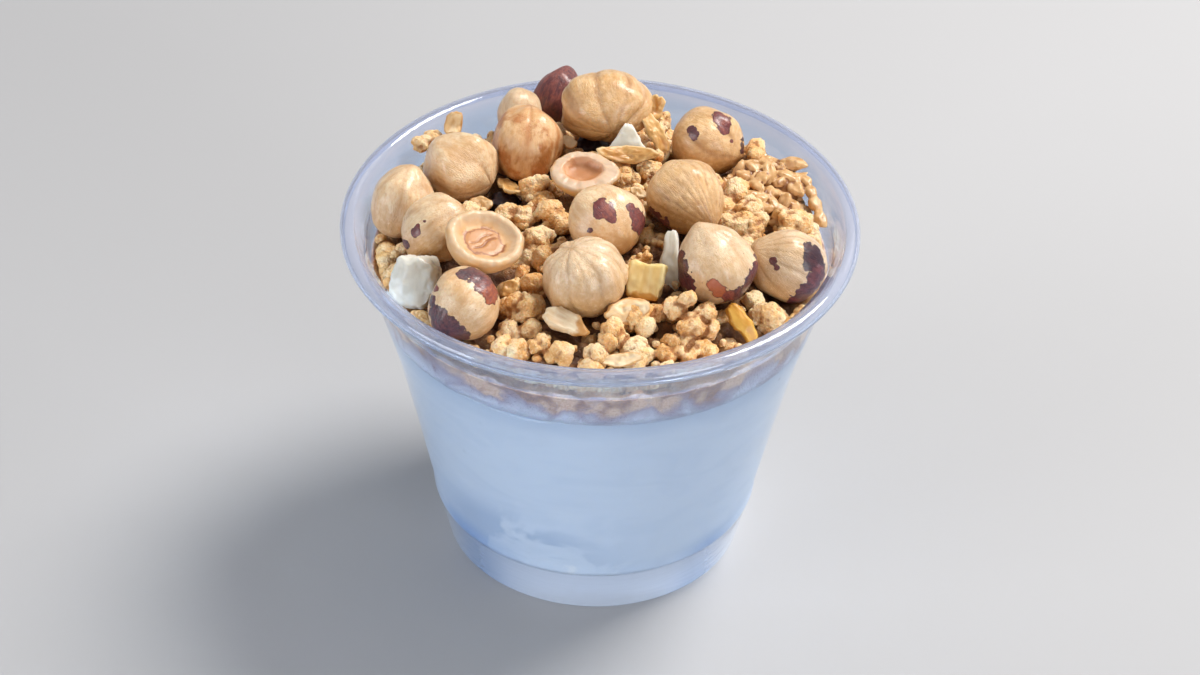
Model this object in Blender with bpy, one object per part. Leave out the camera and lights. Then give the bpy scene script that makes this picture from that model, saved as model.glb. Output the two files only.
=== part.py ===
"""A clear dessert cup filled with yogurt and heaped with granola, hazelnuts, coconut and fruit.

Units are metres, +Z is up, the front is -Y, and the origin is the middle of the cup's foot.
"""

import math
from dataclasses import dataclass

import bmesh
import bpy
import numpy as np
from mathutils import Matrix, Vector, noise

# Cup: a thin shell with a raised floor, a stacking ledge and a rolled lip.
CUP_HEIGHT = 0.0710
WALL = 0.0006
ROUND_SEGMENTS = 44
FOOT_INNER_RADIUS = 0.0274
FOOT_OUTER_RADIUS = 0.0284
FLOOR_UNDERSIDE = 0.0098
FLOOR_TOP = 0.0104
FLOOR_FILLET = 0.0007
# Height and outside radius of the wall, from the foot up to the lip.
WALL_STATIONS = (
    (0.0005, 0.02874),
    (0.0100, 0.03080),
    (0.0106, 0.03118),
    (0.0114, 0.03130),
    (0.0120, 0.03110),
    (0.0300, 0.03482),
    (0.0450, 0.03810),
    (0.0560, 0.04115),
    (0.0608, 0.04190),
    (0.0619, 0.04260),
    (0.0660, 0.04320),
    (0.0686, 0.04365),
)
INNER_STATIONS_FROM = 0.0300
LIP_OUTER_RADIUS = 0.0475
LIP_HALF_WIDTH = 0.00165
LIP_HALF_HEIGHT = 0.0016
LIP_INNER_ANGLE = math.radians(150)
LIP_CURL_ANGLE = math.radians(-35)
LIP_STEPS = 4

# Neighbouring pieces keep this much air between them.
GAP = 0.0003

# Yogurt: fills the cup from the floor to this level.
YOGURT_TOP = 0.0550
YOGURT_EDGE = 0.0006

# Granola: a domed core with crumbs fused on.
HEAP_CROWN = 0.0688
HEAP_SHOULDER = 0.0621
HEAP_POWER = 2.4
# Where the core touches the wall: below and above the stacking ledge.
HEAP_WALL_HEIGHTS = (0.0608, 0.0617)
HEAP_RINGS = 8
HEAP_BUMP = 0.0024
HEAP_BUMP_SCALE = 150.0
SEAT_DEPTH = 0.84
SEAT_SPREAD = 0.0056
SOCKET_MARGIN = 0.0007
CRUMB_COUNT = 140
CRUMB_RADIUS = (0.0022, 0.0033)
CRUMB_SMALLEST = 0.0014
CRUMB_DENT = 0.28
CRUMB_STRETCH = (0.82, 1.0)
CRUMB_RISE = 0.4
MAKE_ROOM_PASSES = 4
HEAP_DECIMATE = 0.53
GOLDEN_ANGLE = math.pi * (3 - math.sqrt(5))
GOLDEN_SHARE = (math.sqrt(5) - 1) / 2

# Puffed grains stuck together on the heap's right-hand back, and the rise of the core under them.
PUFF_CENTRE = (0.0325, 0.0150)
PUFF_REACH = (0.0085, 0.0110)
PUFF_RISE = 0.0030
PUFF_GRAIN = (0.0025, 0.0012, 0.0011)
PUFF_ROOM = 0.0017
PUFF_COUNT = 34
PUFF_LIFT = (0.0004, 0.0022)
PUFF_SEGMENTS = 6
PUFF_RINGS = 4

# Whole nuts: how much the base is flattened and how uneven they are, and their facets.
NUT_BASE = 0.05
NUT_BASE_WIDTH = 0.6
NUT_TIP_WIDTH = 0.42
NUT_RIB_MEAN = 0.6
NUT_RIB_FADE = 0.8
NUT_UNEVEN = 0.06
NUT_UNEVEN_SCALE = 1.4
NUT_SEGMENTS = 14
NUT_RINGS = 9

# Half nuts: share of the outline and of the depth, from the hollow over the rim, then down the underside.
HALF_NUT_RIM = ((0.0, -0.28), (0.30, -0.24), (0.50, -0.10), (0.60, 0.0), (0.92, 0.0), (1.0, -0.08))
HALF_NUT_UNDERSIDE_ANGLES = (0.4, 0.8, 1.2)
HALF_NUT_TIP_WIDTH = 0.45

# How far apart the unevenness of two pieces is taken, and how fine it is on cut pieces.
UNEVEN_SPREAD = 700.0
CHUNK_UNEVEN_SCALE = 400.0


@dataclass
class Nut:
    """A whole kernel: its middle, half sizes, where its tip points, how flat and how ribbed it is."""

    name: str
    centre: tuple
    across: float
    along: float
    tip_points: tuple
    tip: float = 0.07
    ribs: int = 6
    rib_depth: float = 0.03
    flat: float = 1.0
    turn: float = 0.0


@dataclass
class HalfNut:
    """Half a kernel, cut face up, with the hollow in its middle."""

    name: str
    centre: tuple
    across: float
    along: float
    faces: tuple
    tip_points: tuple
    depth: float
    tip: float


@dataclass
class Chunk:
    """A cut piece: width, thickness and length, where its length points and its broad side faces."""

    name: str
    centre: tuple
    size: tuple
    points: tuple
    faces: tuple
    taper: float = 0.0
    bend: float = 0.0
    bevel: float = 0.0006
    roughness: float = 0.0
    steps: int = 1


@dataclass
class Cluster:
    """Granola lumps stuck together round a middle."""

    centre: tuple
    lump: float
    count: int = 1
    spread: float = 0.0


NUTS = (
    Nut("hazelnut_01", (-0.0363, 0.0045, 0.0694), 0.0061, 0.0068, (0.19, 0.35, 0.92), ribs=5, rib_depth=0.02),
    Nut("hazelnut_02", (-0.0263, 0.0129, 0.0721), 0.0065, 0.0069, (0.85, -0.46, -0.27), ribs=4,
        rib_depth=0.06),
    Nut("hazelnut_03", (-0.0298, -0.0063, 0.0713), 0.0060, 0.0069, (0.72, 0.08, 0.69), ribs=5),
    Nut("hazelnut_04", (-0.0233, -0.0274, 0.0706), 0.0063, 0.0066, (-0.6, -0.72, -0.35), ribs=6),
    Nut("hazelnut_05", (-0.0143, 0.0192, 0.0727), 0.0066, 0.0073, (0.1, 0.44, 0.89), ribs=5, rib_depth=0.04),
    Nut("hazelnut_06", (-0.0158, 0.0310, 0.0719), 0.0043, 0.0050, (0.0, 0.44, 0.89), ribs=5),
    Nut("hazelnut_07", (-0.0089, 0.0378, 0.0713), 0.0047, 0.0060, (0.37, 0.64, 0.67), tip=0.12, ribs=6),
    Nut("hazelnut_08", (0.0007, 0.0264, 0.0774), 0.0089, 0.0071, (0.15, -0.97, -0.19), ribs=5, rib_depth=0.08,
        flat=0.76),
    Nut("hazelnut_09", (0.0196, 0.0237, 0.0715), 0.0068, 0.0068, (0.85, -0.5, -0.14), ribs=5, rib_depth=0.02),
    Nut("hazelnut_10", (0.0154, 0.0015, 0.0745), 0.0070, 0.0072, (0.57, -0.79, -0.21), tip=0.20, ribs=7),
    Nut("hazelnut_11", (0.0010, -0.0068, 0.0745), 0.0071, 0.0069, (0.54, -0.84, -0.03), ribs=6,
        rib_depth=0.02, flat=0.94),
    Nut("hazelnut_12", (-0.0025, -0.0223, 0.0731), 0.0076, 0.0068, (-0.15, 0.28, 0.95), ribs=7,
        rib_depth=0.07),
    Nut("hazelnut_13", (0.0206, -0.0177, 0.0730), 0.0070, 0.0071, (-0.42, 0.22, 0.88), tip=0.18, ribs=6,
        rib_depth=0.04),
    Nut("hazelnut_14", (0.0341, -0.0106, 0.0682), 0.0065, 0.0074, (-0.80, -0.21, 0.56), tip=0.10, ribs=6),
)

HALF_NUTS = (
    HalfNut("hazelnut_half_1", (-0.0202, -0.0158, 0.0769), 0.0067, 0.0072, (0.24, -0.2, 0.95), (1, 0.25, 0),
            0.0064, 0.03),
    HalfNut("hazelnut_half_2", (-0.0034, 0.0075, 0.0755), 0.0054, 0.0061, (0.02, -0.17, 0.98), (1, 0, 0),
            0.0044, 0.16),
)

CHUNKS = (
    Chunk("coconut_chunk", (-0.0324, -0.0173, 0.0678), (0.0088, 0.0070, 0.0092), (0.1, 0.5, 0.86),
          (-0.35, -0.8, 0.5), taper=0.12, bevel=0.0014, roughness=0.06),
    Chunk("coconut_chip", (0.0048, 0.0173, 0.0760), (0.0086, 0.0020, 0.0060), (0, 0.5, 0.87),
          (0, -0.8, 0.6), taper=0.85, bevel=0.0004, roughness=0.05),
    Chunk("coconut_strip", (0.0128, -0.0116, 0.0688), (0.0042, 0.0012, 0.0122), (0.05, 0.61, 0.79),
          (-0.2, -0.8, 0.6), taper=0.35, bend=0.0009, bevel=0.0003, steps=4),
    Chunk("coconut_flake", (-0.0055, -0.0307, 0.0694), (0.0044, 0.0017, 0.0088), (0.9, -0.26, -0.34),
          (0.1, -0.5, 0.85), taper=0.25, bend=0.0004, bevel=0.0004, roughness=0.06, steps=2),
    Chunk("fruit_cube", (0.0083, -0.0195, 0.0709), (0.0060, 0.0050, 0.0070), (0.15, 0.55, 0.8),
          (-0.1, -0.8, 0.6), taper=0.1, bevel=0.0009, roughness=0.10),
    Chunk("fruit_slice", (0.0254, -0.0268, 0.0670), (0.0036, 0.0022, 0.0082), (0.6, -0.49, -0.63),
          (0.1, -0.7, 0.7), taper=0.2, bend=0.0005, roughness=0.05, steps=2),
    Chunk("raisin_1", (-0.0180, 0.0093, 0.0661), (0.0046, 0.0040, 0.0054), (0.8, 0.2, -0.5),
          (0, -0.5, 0.8), taper=0.1, bevel=0.0012, roughness=0.2),
    Chunk("raisin_2", (-0.0020, 0.0264, 0.0680), (0.0046, 0.0038, 0.0060), (1, 0.1, 0),
          (0, -0.5, 0.8), taper=0.1, bevel=0.0012, roughness=0.2),
)

# The granola clusters that show between the nuts, from the front to the back.
CLUSTERS = (
    Cluster((-0.0172, -0.0330, 0.0654), 0.0019, 3, 0.0022),
    Cluster((-0.0085, -0.0327, 0.0655), 0.0022, 3, 0.0026),
    Cluster((-0.0008, -0.0326, 0.0657), 0.0028, 2, 0.0018),
    Cluster((0.0072, -0.0327, 0.0654), 0.0026, 3, 0.0024),
    Cluster((0.0172, -0.0328, 0.0650), 0.0020, 3, 0.0020),
    Cluster((0.0035, -0.0270, 0.0676), 0.0028, 3, 0.0024),
    Cluster((0.0170, -0.0265, 0.0680), 0.0030, 5, 0.0034),
    Cluster((0.0306, -0.0218, 0.0658), 0.0024, 3, 0.0028),
    Cluster((-0.0173, -0.0273, 0.0666), 0.0023),
    Cluster((-0.0134, -0.0236, 0.0676), 0.0027, 3, 0.0026),
    Cluster((-0.0312, -0.0245, 0.0635), 0.0019, 3, 0.0026),
    Cluster((-0.0112, -0.0090, 0.0698), 0.0027, 4, 0.0032),
    Cluster((0.0105, -0.0048, 0.0686), 0.0019, 3, 0.0022),
    Cluster((0.0086, -0.0219, 0.0655), 0.0019, 2, 0.0020),
    Cluster((0.0237, 0.0000, 0.0690), 0.0023),
    Cluster((0.0285, 0.0006, 0.0690), 0.0024, 4, 0.0028),
    Cluster((-0.0349, -0.0046, 0.0658), 0.0019, 2, 0.0020),
    Cluster((-0.0112, 0.0040, 0.0706), 0.0027, 5, 0.0036),
    Cluster((-0.0178, 0.0040, 0.0690), 0.0021, 2, 0.0022),
    Cluster((0.0055, 0.0145, 0.0724), 0.0025, 4, 0.0034),
    Cluster((0.0102, 0.0255, 0.0732), 0.0022, 3, 0.0026),
    Cluster((-0.0080, 0.0249, 0.0710), 0.0018, 2, 0.0016),
    Cluster((-0.0320, 0.0238, 0.0702), 0.0024, 4, 0.0028),
)

# Colour, roughness and transmission of each material.
FINISHES = {
    "clear_plastic": ((0.80, 0.88, 0.97), 0.08, 0.9),
    "yogurt": ((0.86, 0.88, 0.92), 0.35, 0.0),
    "granola": ((0.55, 0.33, 0.14), 0.75, 0.0),
    "hazelnut": ((0.80, 0.58, 0.33), 0.5, 0.0),
    "skin_on_hazelnut": ((0.20, 0.06, 0.05), 0.45, 0.0),
    "coconut": ((0.80, 0.80, 0.74), 0.45, 0.0),
    "yellow_fruit": ((0.82, 0.58, 0.16), 0.4, 0.0),
    "raisin": ((0.03, 0.015, 0.02), 0.45, 0.0),
}


def clear_scene():
    """Remove every object that the file opened with."""
    for old in list(bpy.data.objects):
        bpy.data.objects.remove(old, do_unlink=True)


def material(name):
    """The named finish as a Principled BSDF material, made once."""
    if name in bpy.data.materials:
        return bpy.data.materials[name]
    colour, roughness, transmission = FINISHES[name]
    made = bpy.data.materials.new(name)
    made.use_nodes = True
    shader = made.node_tree.nodes["Principled BSDF"]
    shader.inputs["Base Color"].default_value = (*colour, 1.0)
    shader.inputs["Roughness"].default_value = roughness
    shader.inputs["Metallic"].default_value = 0.0
    shader.inputs["Transmission Weight"].default_value = transmission
    made.diffuse_color = (*colour, 1.0)
    return made


def object_from(shape, name, finish):
    """A smooth-shaded object that holds the bmesh, with its faces pointing out."""
    bmesh.ops.recalc_face_normals(shape, faces=shape.faces)
    mesh = bpy.data.meshes.new(name)
    shape.to_mesh(mesh)
    shape.free()
    mesh.shade_smooth()
    mesh.set_sharp_from_angle(angle=math.radians(50))
    mesh.materials.append(material(finish))
    made = bpy.data.objects.new(name, mesh)
    bpy.context.collection.objects.link(made)
    return made


def turned(profile, segments=ROUND_SEGMENTS):
    """A bmesh turned round +Z from a profile of (radius, height) points that starts and ends on the axis."""
    shape = bmesh.new()
    points = [shape.verts.new((radius, 0, height)) for radius, height in profile]
    edges = [shape.edges.new(pair) for pair in zip(points, points[1:])]
    bmesh.ops.spin(shape, geom=points + edges, axis=(0, 0, 1), cent=(0, 0, 0),
                   steps=segments, angle=math.tau, use_merge=True)
    bmesh.ops.remove_doubles(shape, verts=shape.verts, dist=1e-6)
    return shape


def outer_radius(height):
    """Outside radius of the cup's wall at a height."""
    heights, radii = zip(*WALL_STATIONS)
    return float(np.interp(height, heights, radii))


def inner_radius(height):
    """Inside radius of the cup's wall at a height."""
    return outer_radius(height) - WALL


def lip_arc(inset, start, end):
    """Points along the rolled lip, inset from its outside."""
    points = []
    for step in range(LIP_STEPS + 1):
        angle = start + (end - start) * step / LIP_STEPS
        radius = LIP_OUTER_RADIUS - LIP_HALF_WIDTH + (LIP_HALF_WIDTH - inset) * math.cos(angle)
        height = CUP_HEIGHT - LIP_HALF_HEIGHT + (LIP_HALF_HEIGHT - inset) * math.sin(angle)
        points.append((radius, height))
    return points


def cup_profile():
    """The cup's section: under the floor, up the outside, round the lip and down the inside."""
    foot = [
        (0, FLOOR_UNDERSIDE),
        (outer_radius(FLOOR_UNDERSIDE) - 2 * WALL, FLOOR_UNDERSIDE),
        (FOOT_INNER_RADIUS, 0),
        (FOOT_OUTER_RADIUS, 0),
    ]
    outside = [(radius, height) for height, radius in WALL_STATIONS]
    under_lip = lip_arc(WALL, LIP_INNER_ANGLE, LIP_CURL_ANGLE)
    over_lip = lip_arc(0, LIP_CURL_ANGLE, LIP_INNER_ANGLE)
    inside = [(radius - WALL, height) for height, radius in reversed(WALL_STATIONS)
              if height >= INNER_STATIONS_FROM]
    floor = [
        (inner_radius(FLOOR_TOP + 2 * FLOOR_FILLET), FLOOR_TOP + 2 * FLOOR_FILLET),
        (inner_radius(FLOOR_TOP) - FLOOR_FILLET, FLOOR_TOP),
        (0, FLOOR_TOP),
    ]
    return foot + outside + under_lip + over_lip + inside + floor


def build_cup():
    """The clear cup."""
    return object_from(turned(cup_profile()), "cup", "clear_plastic")


def filling_radius(height):
    """How far the cup's contents reach at a height."""
    return inner_radius(height) - GAP


def build_yogurt():
    """The yogurt, solid from the cup's floor to its level."""
    bottom = FLOOR_TOP + GAP
    corner = FLOOR_TOP + 2 * FLOOR_FILLET
    shoulder = YOGURT_TOP - YOGURT_EDGE
    heights = [corner] + [height for height, _ in WALL_STATIONS if corner < height < shoulder] + [shoulder]
    heights = [height for height in heights if height == corner or height >= INNER_STATIONS_FROM]
    profile = [(0, bottom), (inner_radius(FLOOR_TOP) - FLOOR_FILLET - GAP, bottom)]
    profile += [(filling_radius(height), height) for height in heights]
    profile += [(filling_radius(YOGURT_TOP) - YOGURT_EDGE, YOGURT_TOP), (0, YOGURT_TOP)]
    return object_from(turned(profile), "yogurt", "yogurt")


def turn_to(direction):
    """The rotation that takes +Z to a direction."""
    return Vector(direction).normalized().to_track_quat("Z", "Y").to_matrix().to_4x4()


def nut_scale(nut, direction):
    """How far a kernel's skin lies from a plain ellipsoid in a direction, its tip being at +Z."""
    polar = math.acos(max(-1.0, min(1.0, direction.z)))
    azimuth = math.atan2(direction.y, direction.x)
    ribs = abs(math.cos(nut.ribs * azimuth / 2 + nut.turn)) - NUT_RIB_MEAN
    ribbed = 1 + nut.rib_depth * ribs * math.sin(polar) ** NUT_RIB_FADE
    tip = nut.tip * math.exp(-((polar / NUT_TIP_WIDTH) ** 2))
    base = NUT_BASE * math.exp(-(((math.pi - polar) / NUT_BASE_WIDTH) ** 2))
    uneven = NUT_UNEVEN * noise.noise(direction * NUT_UNEVEN_SCALE + Vector(nut.centre) * UNEVEN_SPREAD)
    return ribbed + tip - base + uneven


def nut_shape(nut, margin=0.0):
    """A kernel's bmesh in its own place, grown by a margin."""
    shape = bmesh.new()
    bmesh.ops.create_uvsphere(shape, u_segments=NUT_SEGMENTS, v_segments=NUT_RINGS, radius=1.0)
    half_sizes = Vector((nut.across, nut.across * nut.flat, nut.along))
    for point in shape.verts:
        scale = nut_scale(nut, point.co)
        point.co = Vector(point.co[axis] * (half_sizes[axis] * scale + margin) for axis in range(3))
    place = Matrix.Translation(nut.centre) @ turn_to(nut.tip_points)
    bmesh.ops.transform(shape, matrix=place, verts=shape.verts)
    return shape


def half_nut_frame(half):
    """The place of a half kernel: its cut face looks along Z and its tip along X."""
    up = Vector(half.faces).normalized()
    along = Vector(half.tip_points)
    along = (along - along.dot(up) * up).normalized()
    across = up.cross(along)
    turn = Matrix((along, across, up)).transposed().to_4x4()
    return Matrix.Translation(half.centre) @ turn


def half_nut_profile(half):
    """Share of the outline and height of each ring, from the hollow over the rim to the underside."""
    over = [(reach, height * half.depth) for reach, height in HALF_NUT_RIM]
    edge = -HALF_NUT_RIM[-1][1]
    under = [(math.cos(angle), -half.depth * (edge + (1 - edge) * math.sin(angle)))
             for angle in HALF_NUT_UNDERSIDE_ANGLES]
    return over + under + [(0.0, -half.depth)]


def half_nut_shape(half, margin=0.0):
    """A half kernel's bmesh in its own place, grown by a margin."""
    shape = turned(half_nut_profile(half), NUT_SEGMENTS + 2)
    for point in shape.verts:
        azimuth = math.atan2(point.co.y, point.co.x)
        reach = 1 + half.tip * math.exp(-((azimuth / HALF_NUT_TIP_WIDTH) ** 2))
        point.co.x *= (half.along + margin) * reach
        point.co.y *= (half.across + margin) * reach
        point.co.z *= 1 + margin / half.depth
    bmesh.ops.transform(shape, matrix=half_nut_frame(half), verts=shape.verts)
    return shape


def chunk_frame(chunk):
    """The place of a cut piece: its length along Z and its broad side facing Y."""
    length = Vector(chunk.points).normalized()
    faces = Vector(chunk.faces)
    faces = (faces - faces.dot(length) * length).normalized()
    width = faces.cross(length)
    turn = Matrix((width, faces, length)).transposed().to_4x4()
    return Matrix.Translation(chunk.centre) @ turn


def uneven_shift(point):
    """A smooth shift that differs from place to place."""
    return Vector(noise.noise(point + Vector((17.3, 5.9, 9.1)) * axis) for axis in range(3))


def chunk_shape(chunk, margin=0.0):
    """A cut piece's bmesh: a block that narrows and bends along its length, with broken edges."""
    shape = bmesh.new()
    bmesh.ops.create_cube(shape, size=1.0)
    if chunk.steps > 1:
        lengthwise = [edge for edge in shape.edges
                      if abs(edge.verts[0].co.z - edge.verts[1].co.z) > 0.5]
        bmesh.ops.subdivide_edges(shape, edges=lengthwise, cuts=chunk.steps - 1, use_grid_fill=True)
    size = Vector(chunk.size) + Vector((2 * margin,) * 3)
    for point in shape.verts:
        reach = 2 * point.co.z
        point.co.x *= 1 - chunk.taper * (point.co.z + 0.5)
        point.co = Vector(point.co[axis] * size[axis] for axis in range(3))
        point.co.y += chunk.bend * (1 - reach * reach)
    sharp = [edge for edge in shape.edges if edge.calc_face_angle(0) > 0.5]
    bmesh.ops.bevel(shape, geom=sharp, offset=chunk.bevel, segments=1, affect="EDGES")
    for point in shape.verts:
        shift = uneven_shift(point.co * CHUNK_UNEVEN_SCALE + Vector(chunk.centre) * UNEVEN_SPREAD)
        point.co += shift * chunk.roughness * min(chunk.size)
    bmesh.ops.transform(shape, matrix=chunk_frame(chunk), verts=shape.verts)
    return shape


def chunk_finish(chunk):
    """The finish that a cut piece's name stands for."""
    by_first_word = {"coconut": "coconut", "fruit": "yellow_fruit", "raisin": "raisin"}
    return by_first_word[chunk.name.split("_")[0]]


def build_toppings():
    """Every nut, half nut and cut piece on the heap."""
    made = []
    for nut in NUTS:
        finish = "skin_on_hazelnut" if nut.name == "hazelnut_07" else "hazelnut"
        made.append(object_from(nut_shape(nut), nut.name, finish))
    for half in HALF_NUTS:
        made.append(object_from(half_nut_shape(half), half.name, "hazelnut"))
    for chunk in CHUNKS:
        made.append(object_from(chunk_shape(chunk), chunk.name, chunk_finish(chunk)))
    return made


def keep_clear_balls():
    """A centre and radius for each topping, which no crumb may enter."""
    balls = [(Vector(nut.centre), 1.03 * max(nut.across, nut.along)) for nut in NUTS]
    for half in HALF_NUTS:
        middle = Vector(half.centre) - Vector(half.faces).normalized() * half.depth * 0.35
        balls.append((middle, max(half.across, half.along) * 1.02))
    for chunk in CHUNKS:
        axis = max(range(3), key=lambda i: chunk.size[i])
        thick = sorted(chunk.size)[1] * 0.62
        reach = max(0.0, chunk.size[axis] / 2 - thick * 0.7)
        direction = chunk_frame(chunk).to_3x3().col[axis]
        for share in (-1, -0.5, 0, 0.5, 1):
            balls.append((Vector(chunk.centre) + direction * reach * share, thick))
    return balls


def heap_height(x, y, balls):
    """Height of the bare granola core, which rises to seat the toppings."""
    share = min(1.0, math.hypot(x, y) / filling_radius(HEAP_SHOULDER))
    dome = HEAP_CROWN - (HEAP_CROWN - HEAP_SHOULDER) * share ** HEAP_POWER
    from_puffs = math.hypot((x - PUFF_CENTRE[0]) / PUFF_REACH[0], (y - PUFF_CENTRE[1]) / PUFF_REACH[1])
    dome += PUFF_RISE * math.exp(-(from_puffs ** 4))
    height = dome + HEAP_BUMP * noise.noise(Vector((x, y, 0)) * HEAP_BUMP_SCALE)
    for centre, radius in balls:
        seat = centre.z - SEAT_DEPTH * radius
        away = math.hypot(x - centre.x, y - centre.y) / SEAT_SPREAD
        height = max(height, dome + (seat - dome) * math.exp(-(away ** 2)))
    return height


def heap_core(balls):
    """The bare core: flat on the yogurt, against the wall, domed on top."""
    bottom = YOGURT_TOP + GAP
    profile = [(0, bottom)] + [(filling_radius(height), height) for height in (bottom, *HEAP_WALL_HEIGHTS)]
    edge = HEAP_WALL_HEIGHTS[-1]
    rim = filling_radius(edge)
    profile += [(rim * ring / HEAP_RINGS, HEAP_CROWN) for ring in range(HEAP_RINGS - 1, -1, -1)]
    shape = turned(profile)
    for point in shape.verts:
        if point.co.z > edge + GAP:
            point.co.z = heap_height(point.co.x, point.co.y, balls)
    bmesh.ops.triangulate(shape, faces=shape.faces)
    return object_from(shape, "granola", "granola")


def boxed(shape, name, collection):
    """Put a bmesh into a collection as a hidden working object."""
    made = object_from(shape, name, "granola")
    bpy.context.collection.objects.unlink(made)
    collection.objects.link(made)
    made.hide_render = True
    made.display_type = "WIRE"
    return made


def combine(target, collection, operation, solver):
    """Apply one Boolean of a whole collection to an object, then remove the collection's objects."""
    step = target.modifiers.new(operation.lower(), "BOOLEAN")
    step.operation = operation
    step.operand_type = "COLLECTION"
    step.collection = collection
    step.solver = solver
    bpy.context.view_layer.update()
    seen = target.evaluated_get(bpy.context.evaluated_depsgraph_get())
    mesh = bpy.data.meshes.new_from_object(seen)
    target.modifiers.remove(step)
    target.data = mesh
    for old in list(collection.objects):
        bpy.data.objects.remove(old, do_unlink=True)
    bpy.data.collections.remove(collection)


def working_collection(name):
    """A new collection in the scene."""
    made = bpy.data.collections.new(name)
    bpy.context.scene.collection.children.link(made)
    return made


def cut_sockets(core):
    """Press the toppings' shapes, a little larger, into the core."""
    sockets = working_collection("sockets")
    for nut in NUTS:
        boxed(nut_shape(nut, SOCKET_MARGIN), "socket", sockets)
    for half in HALF_NUTS:
        boxed(half_nut_shape(half, SOCKET_MARGIN), "socket", sockets)
    for chunk in CHUNKS:
        boxed(chunk_shape(chunk, SOCKET_MARGIN), "socket", sockets)
    combine(core, sockets, "DIFFERENCE", "MANIFOLD")


def room_at(centre, balls):
    """The radius that a crumb may have at a point, clear of the toppings, the wall and the yogurt."""
    room = min((centre - middle).length - radius for middle, radius in balls) - GAP
    wall = inner_radius(centre.z - CRUMB_RADIUS[1]) * math.cos(math.pi / ROUND_SEGMENTS)
    room = min(room, wall - math.hypot(centre.x, centre.y) - GAP)
    return min(room, centre.z - YOGURT_TOP - GAP)


def make_room(centre, radius, balls):
    """Move a lump's middle away from the toppings that it would cross."""
    for _ in range(MAKE_ROOM_PASSES):
        middle, reach = min(balls, key=lambda ball: (centre - ball[0]).length - ball[1])
        short = radius + reach + GAP - (centre - middle).length
        if short > 0:
            centre = centre + (centre - middle).normalized() * short
    return centre


def share_of(index, low, high):
    """A value between two limits that differs from index to index without a pattern that shows."""
    return low + (high - low) * ((index * GOLDEN_SHARE) % 1.0)


def crumb_shape(centre, radius, index):
    """A rough lump with few sides, stretched and dented."""
    shape = bmesh.new()
    bmesh.ops.create_icosphere(shape, subdivisions=1, radius=radius)
    stretch = Vector(share_of(index + axis, *CRUMB_STRETCH) for axis in range(3))
    offset = Vector((index * 3.7, index * 1.3, 0))
    for point in shape.verts:
        depth = CRUMB_DENT * abs(noise.noise(point.co / radius * 1.3 + offset))
        point.co = point.co * stretch * (1 - depth)
    turn = Matrix.Rotation(index * GOLDEN_ANGLE, 4, "Z")
    bmesh.ops.transform(shape, matrix=Matrix.Translation(centre) @ turn, verts=shape.verts)
    return shape


def add_crumb(collection, centre, radius, index, balls):
    """Add a crumb, moved or shrunk until it is clear of its neighbours, unless nothing would be left."""
    clear = make_room(centre, radius, balls)
    size = min(radius, room_at(clear, balls))
    if size >= CRUMB_SMALLEST:
        boxed(crumb_shape(clear, size, index), "crumb", collection)


def add_clusters(collection, balls):
    """The clusters: one lump in the middle and the others round it."""
    for number, cluster in enumerate(CLUSTERS):
        for lump in range(cluster.count):
            index = number * 7 + lump
            angle = math.tau * lump / cluster.count + number
            away = cluster.spread * share_of(index, 0.7, 1.0) if lump else 0.0
            rise = cluster.lump * share_of(index, -0.5, 0.4) if lump else 0.0
            centre = Vector(cluster.centre) + Vector((away * math.cos(angle), away * math.sin(angle), rise))
            add_crumb(collection, centre, cluster.lump * share_of(index, 0.8, 1.1), index, balls)


def add_loose_crumbs(collection, balls):
    """Crumbs spread evenly over the whole heap."""
    reach = filling_radius(HEAP_SHOULDER) - CRUMB_SMALLEST
    for index in range(CRUMB_COUNT):
        away = reach * math.sqrt((index + 0.5) / CRUMB_COUNT)
        x = away * math.cos(index * GOLDEN_ANGLE)
        y = away * math.sin(index * GOLDEN_ANGLE)
        radius = share_of(index, *CRUMB_RADIUS)
        centre = Vector((x, y, heap_height(x, y, balls) + CRUMB_RISE * radius))
        add_crumb(collection, centre, radius, index, balls)


def grain_shape(centre, direction):
    """One puffed grain, long along a direction."""
    shape = bmesh.new()
    bmesh.ops.create_uvsphere(shape, u_segments=PUFF_SEGMENTS, v_segments=PUFF_RINGS, radius=1.0)
    long, wide, flat = PUFF_GRAIN
    bmesh.ops.scale(shape, vec=(wide, flat, long), verts=shape.verts)
    bmesh.ops.transform(shape, matrix=Matrix.Translation(centre) @ turn_to(direction), verts=shape.verts)
    return shape


def add_puffed_grains(collection, balls):
    """The cluster of puffed grains: they lie every way over the rise, and tilt outward at its edge."""
    for index in range(PUFF_COUNT):
        away = math.sqrt((index + 0.5) / PUFF_COUNT)
        angle = index * GOLDEN_ANGLE
        x = PUFF_CENTRE[0] + PUFF_REACH[0] * away * math.cos(angle)
        y = PUFF_CENTRE[1] + PUFF_REACH[1] * away * math.sin(angle)
        centre = Vector((x, y, heap_height(x, y, balls) + share_of(index, *PUFF_LIFT)))
        lie = index * GOLDEN_ANGLE * 1.7
        direction = Vector((math.cos(lie), math.sin(lie), share_of(index, -0.4, 0.6)))
        if room_at(centre, balls) >= PUFF_ROOM:
            boxed(grain_shape(centre, direction), "grain", collection)


def keep_outer_shell(target):
    """Keep the largest connected shell: loose scraps go, and hollows that fusing sealed are filled."""
    shape = bmesh.new()
    shape.from_mesh(target.data)
    bmesh.ops.triangulate(shape, faces=shape.faces)
    left = set(shape.verts)
    shells = []
    while left:
        shell = {left.pop()}
        edge = list(shell)
        while edge:
            point = edge.pop()
            for link in point.link_edges:
                other = link.other_vert(point)
                if other in left:
                    left.discard(other)
                    shell.add(other)
                    edge.append(other)
        shells.append(shell)
    largest = max(shells, key=len)
    bmesh.ops.delete(shape, geom=[point for point in shape.verts if point not in largest], context="VERTS")
    shape.to_mesh(target.data)
    shape.free()


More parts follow.
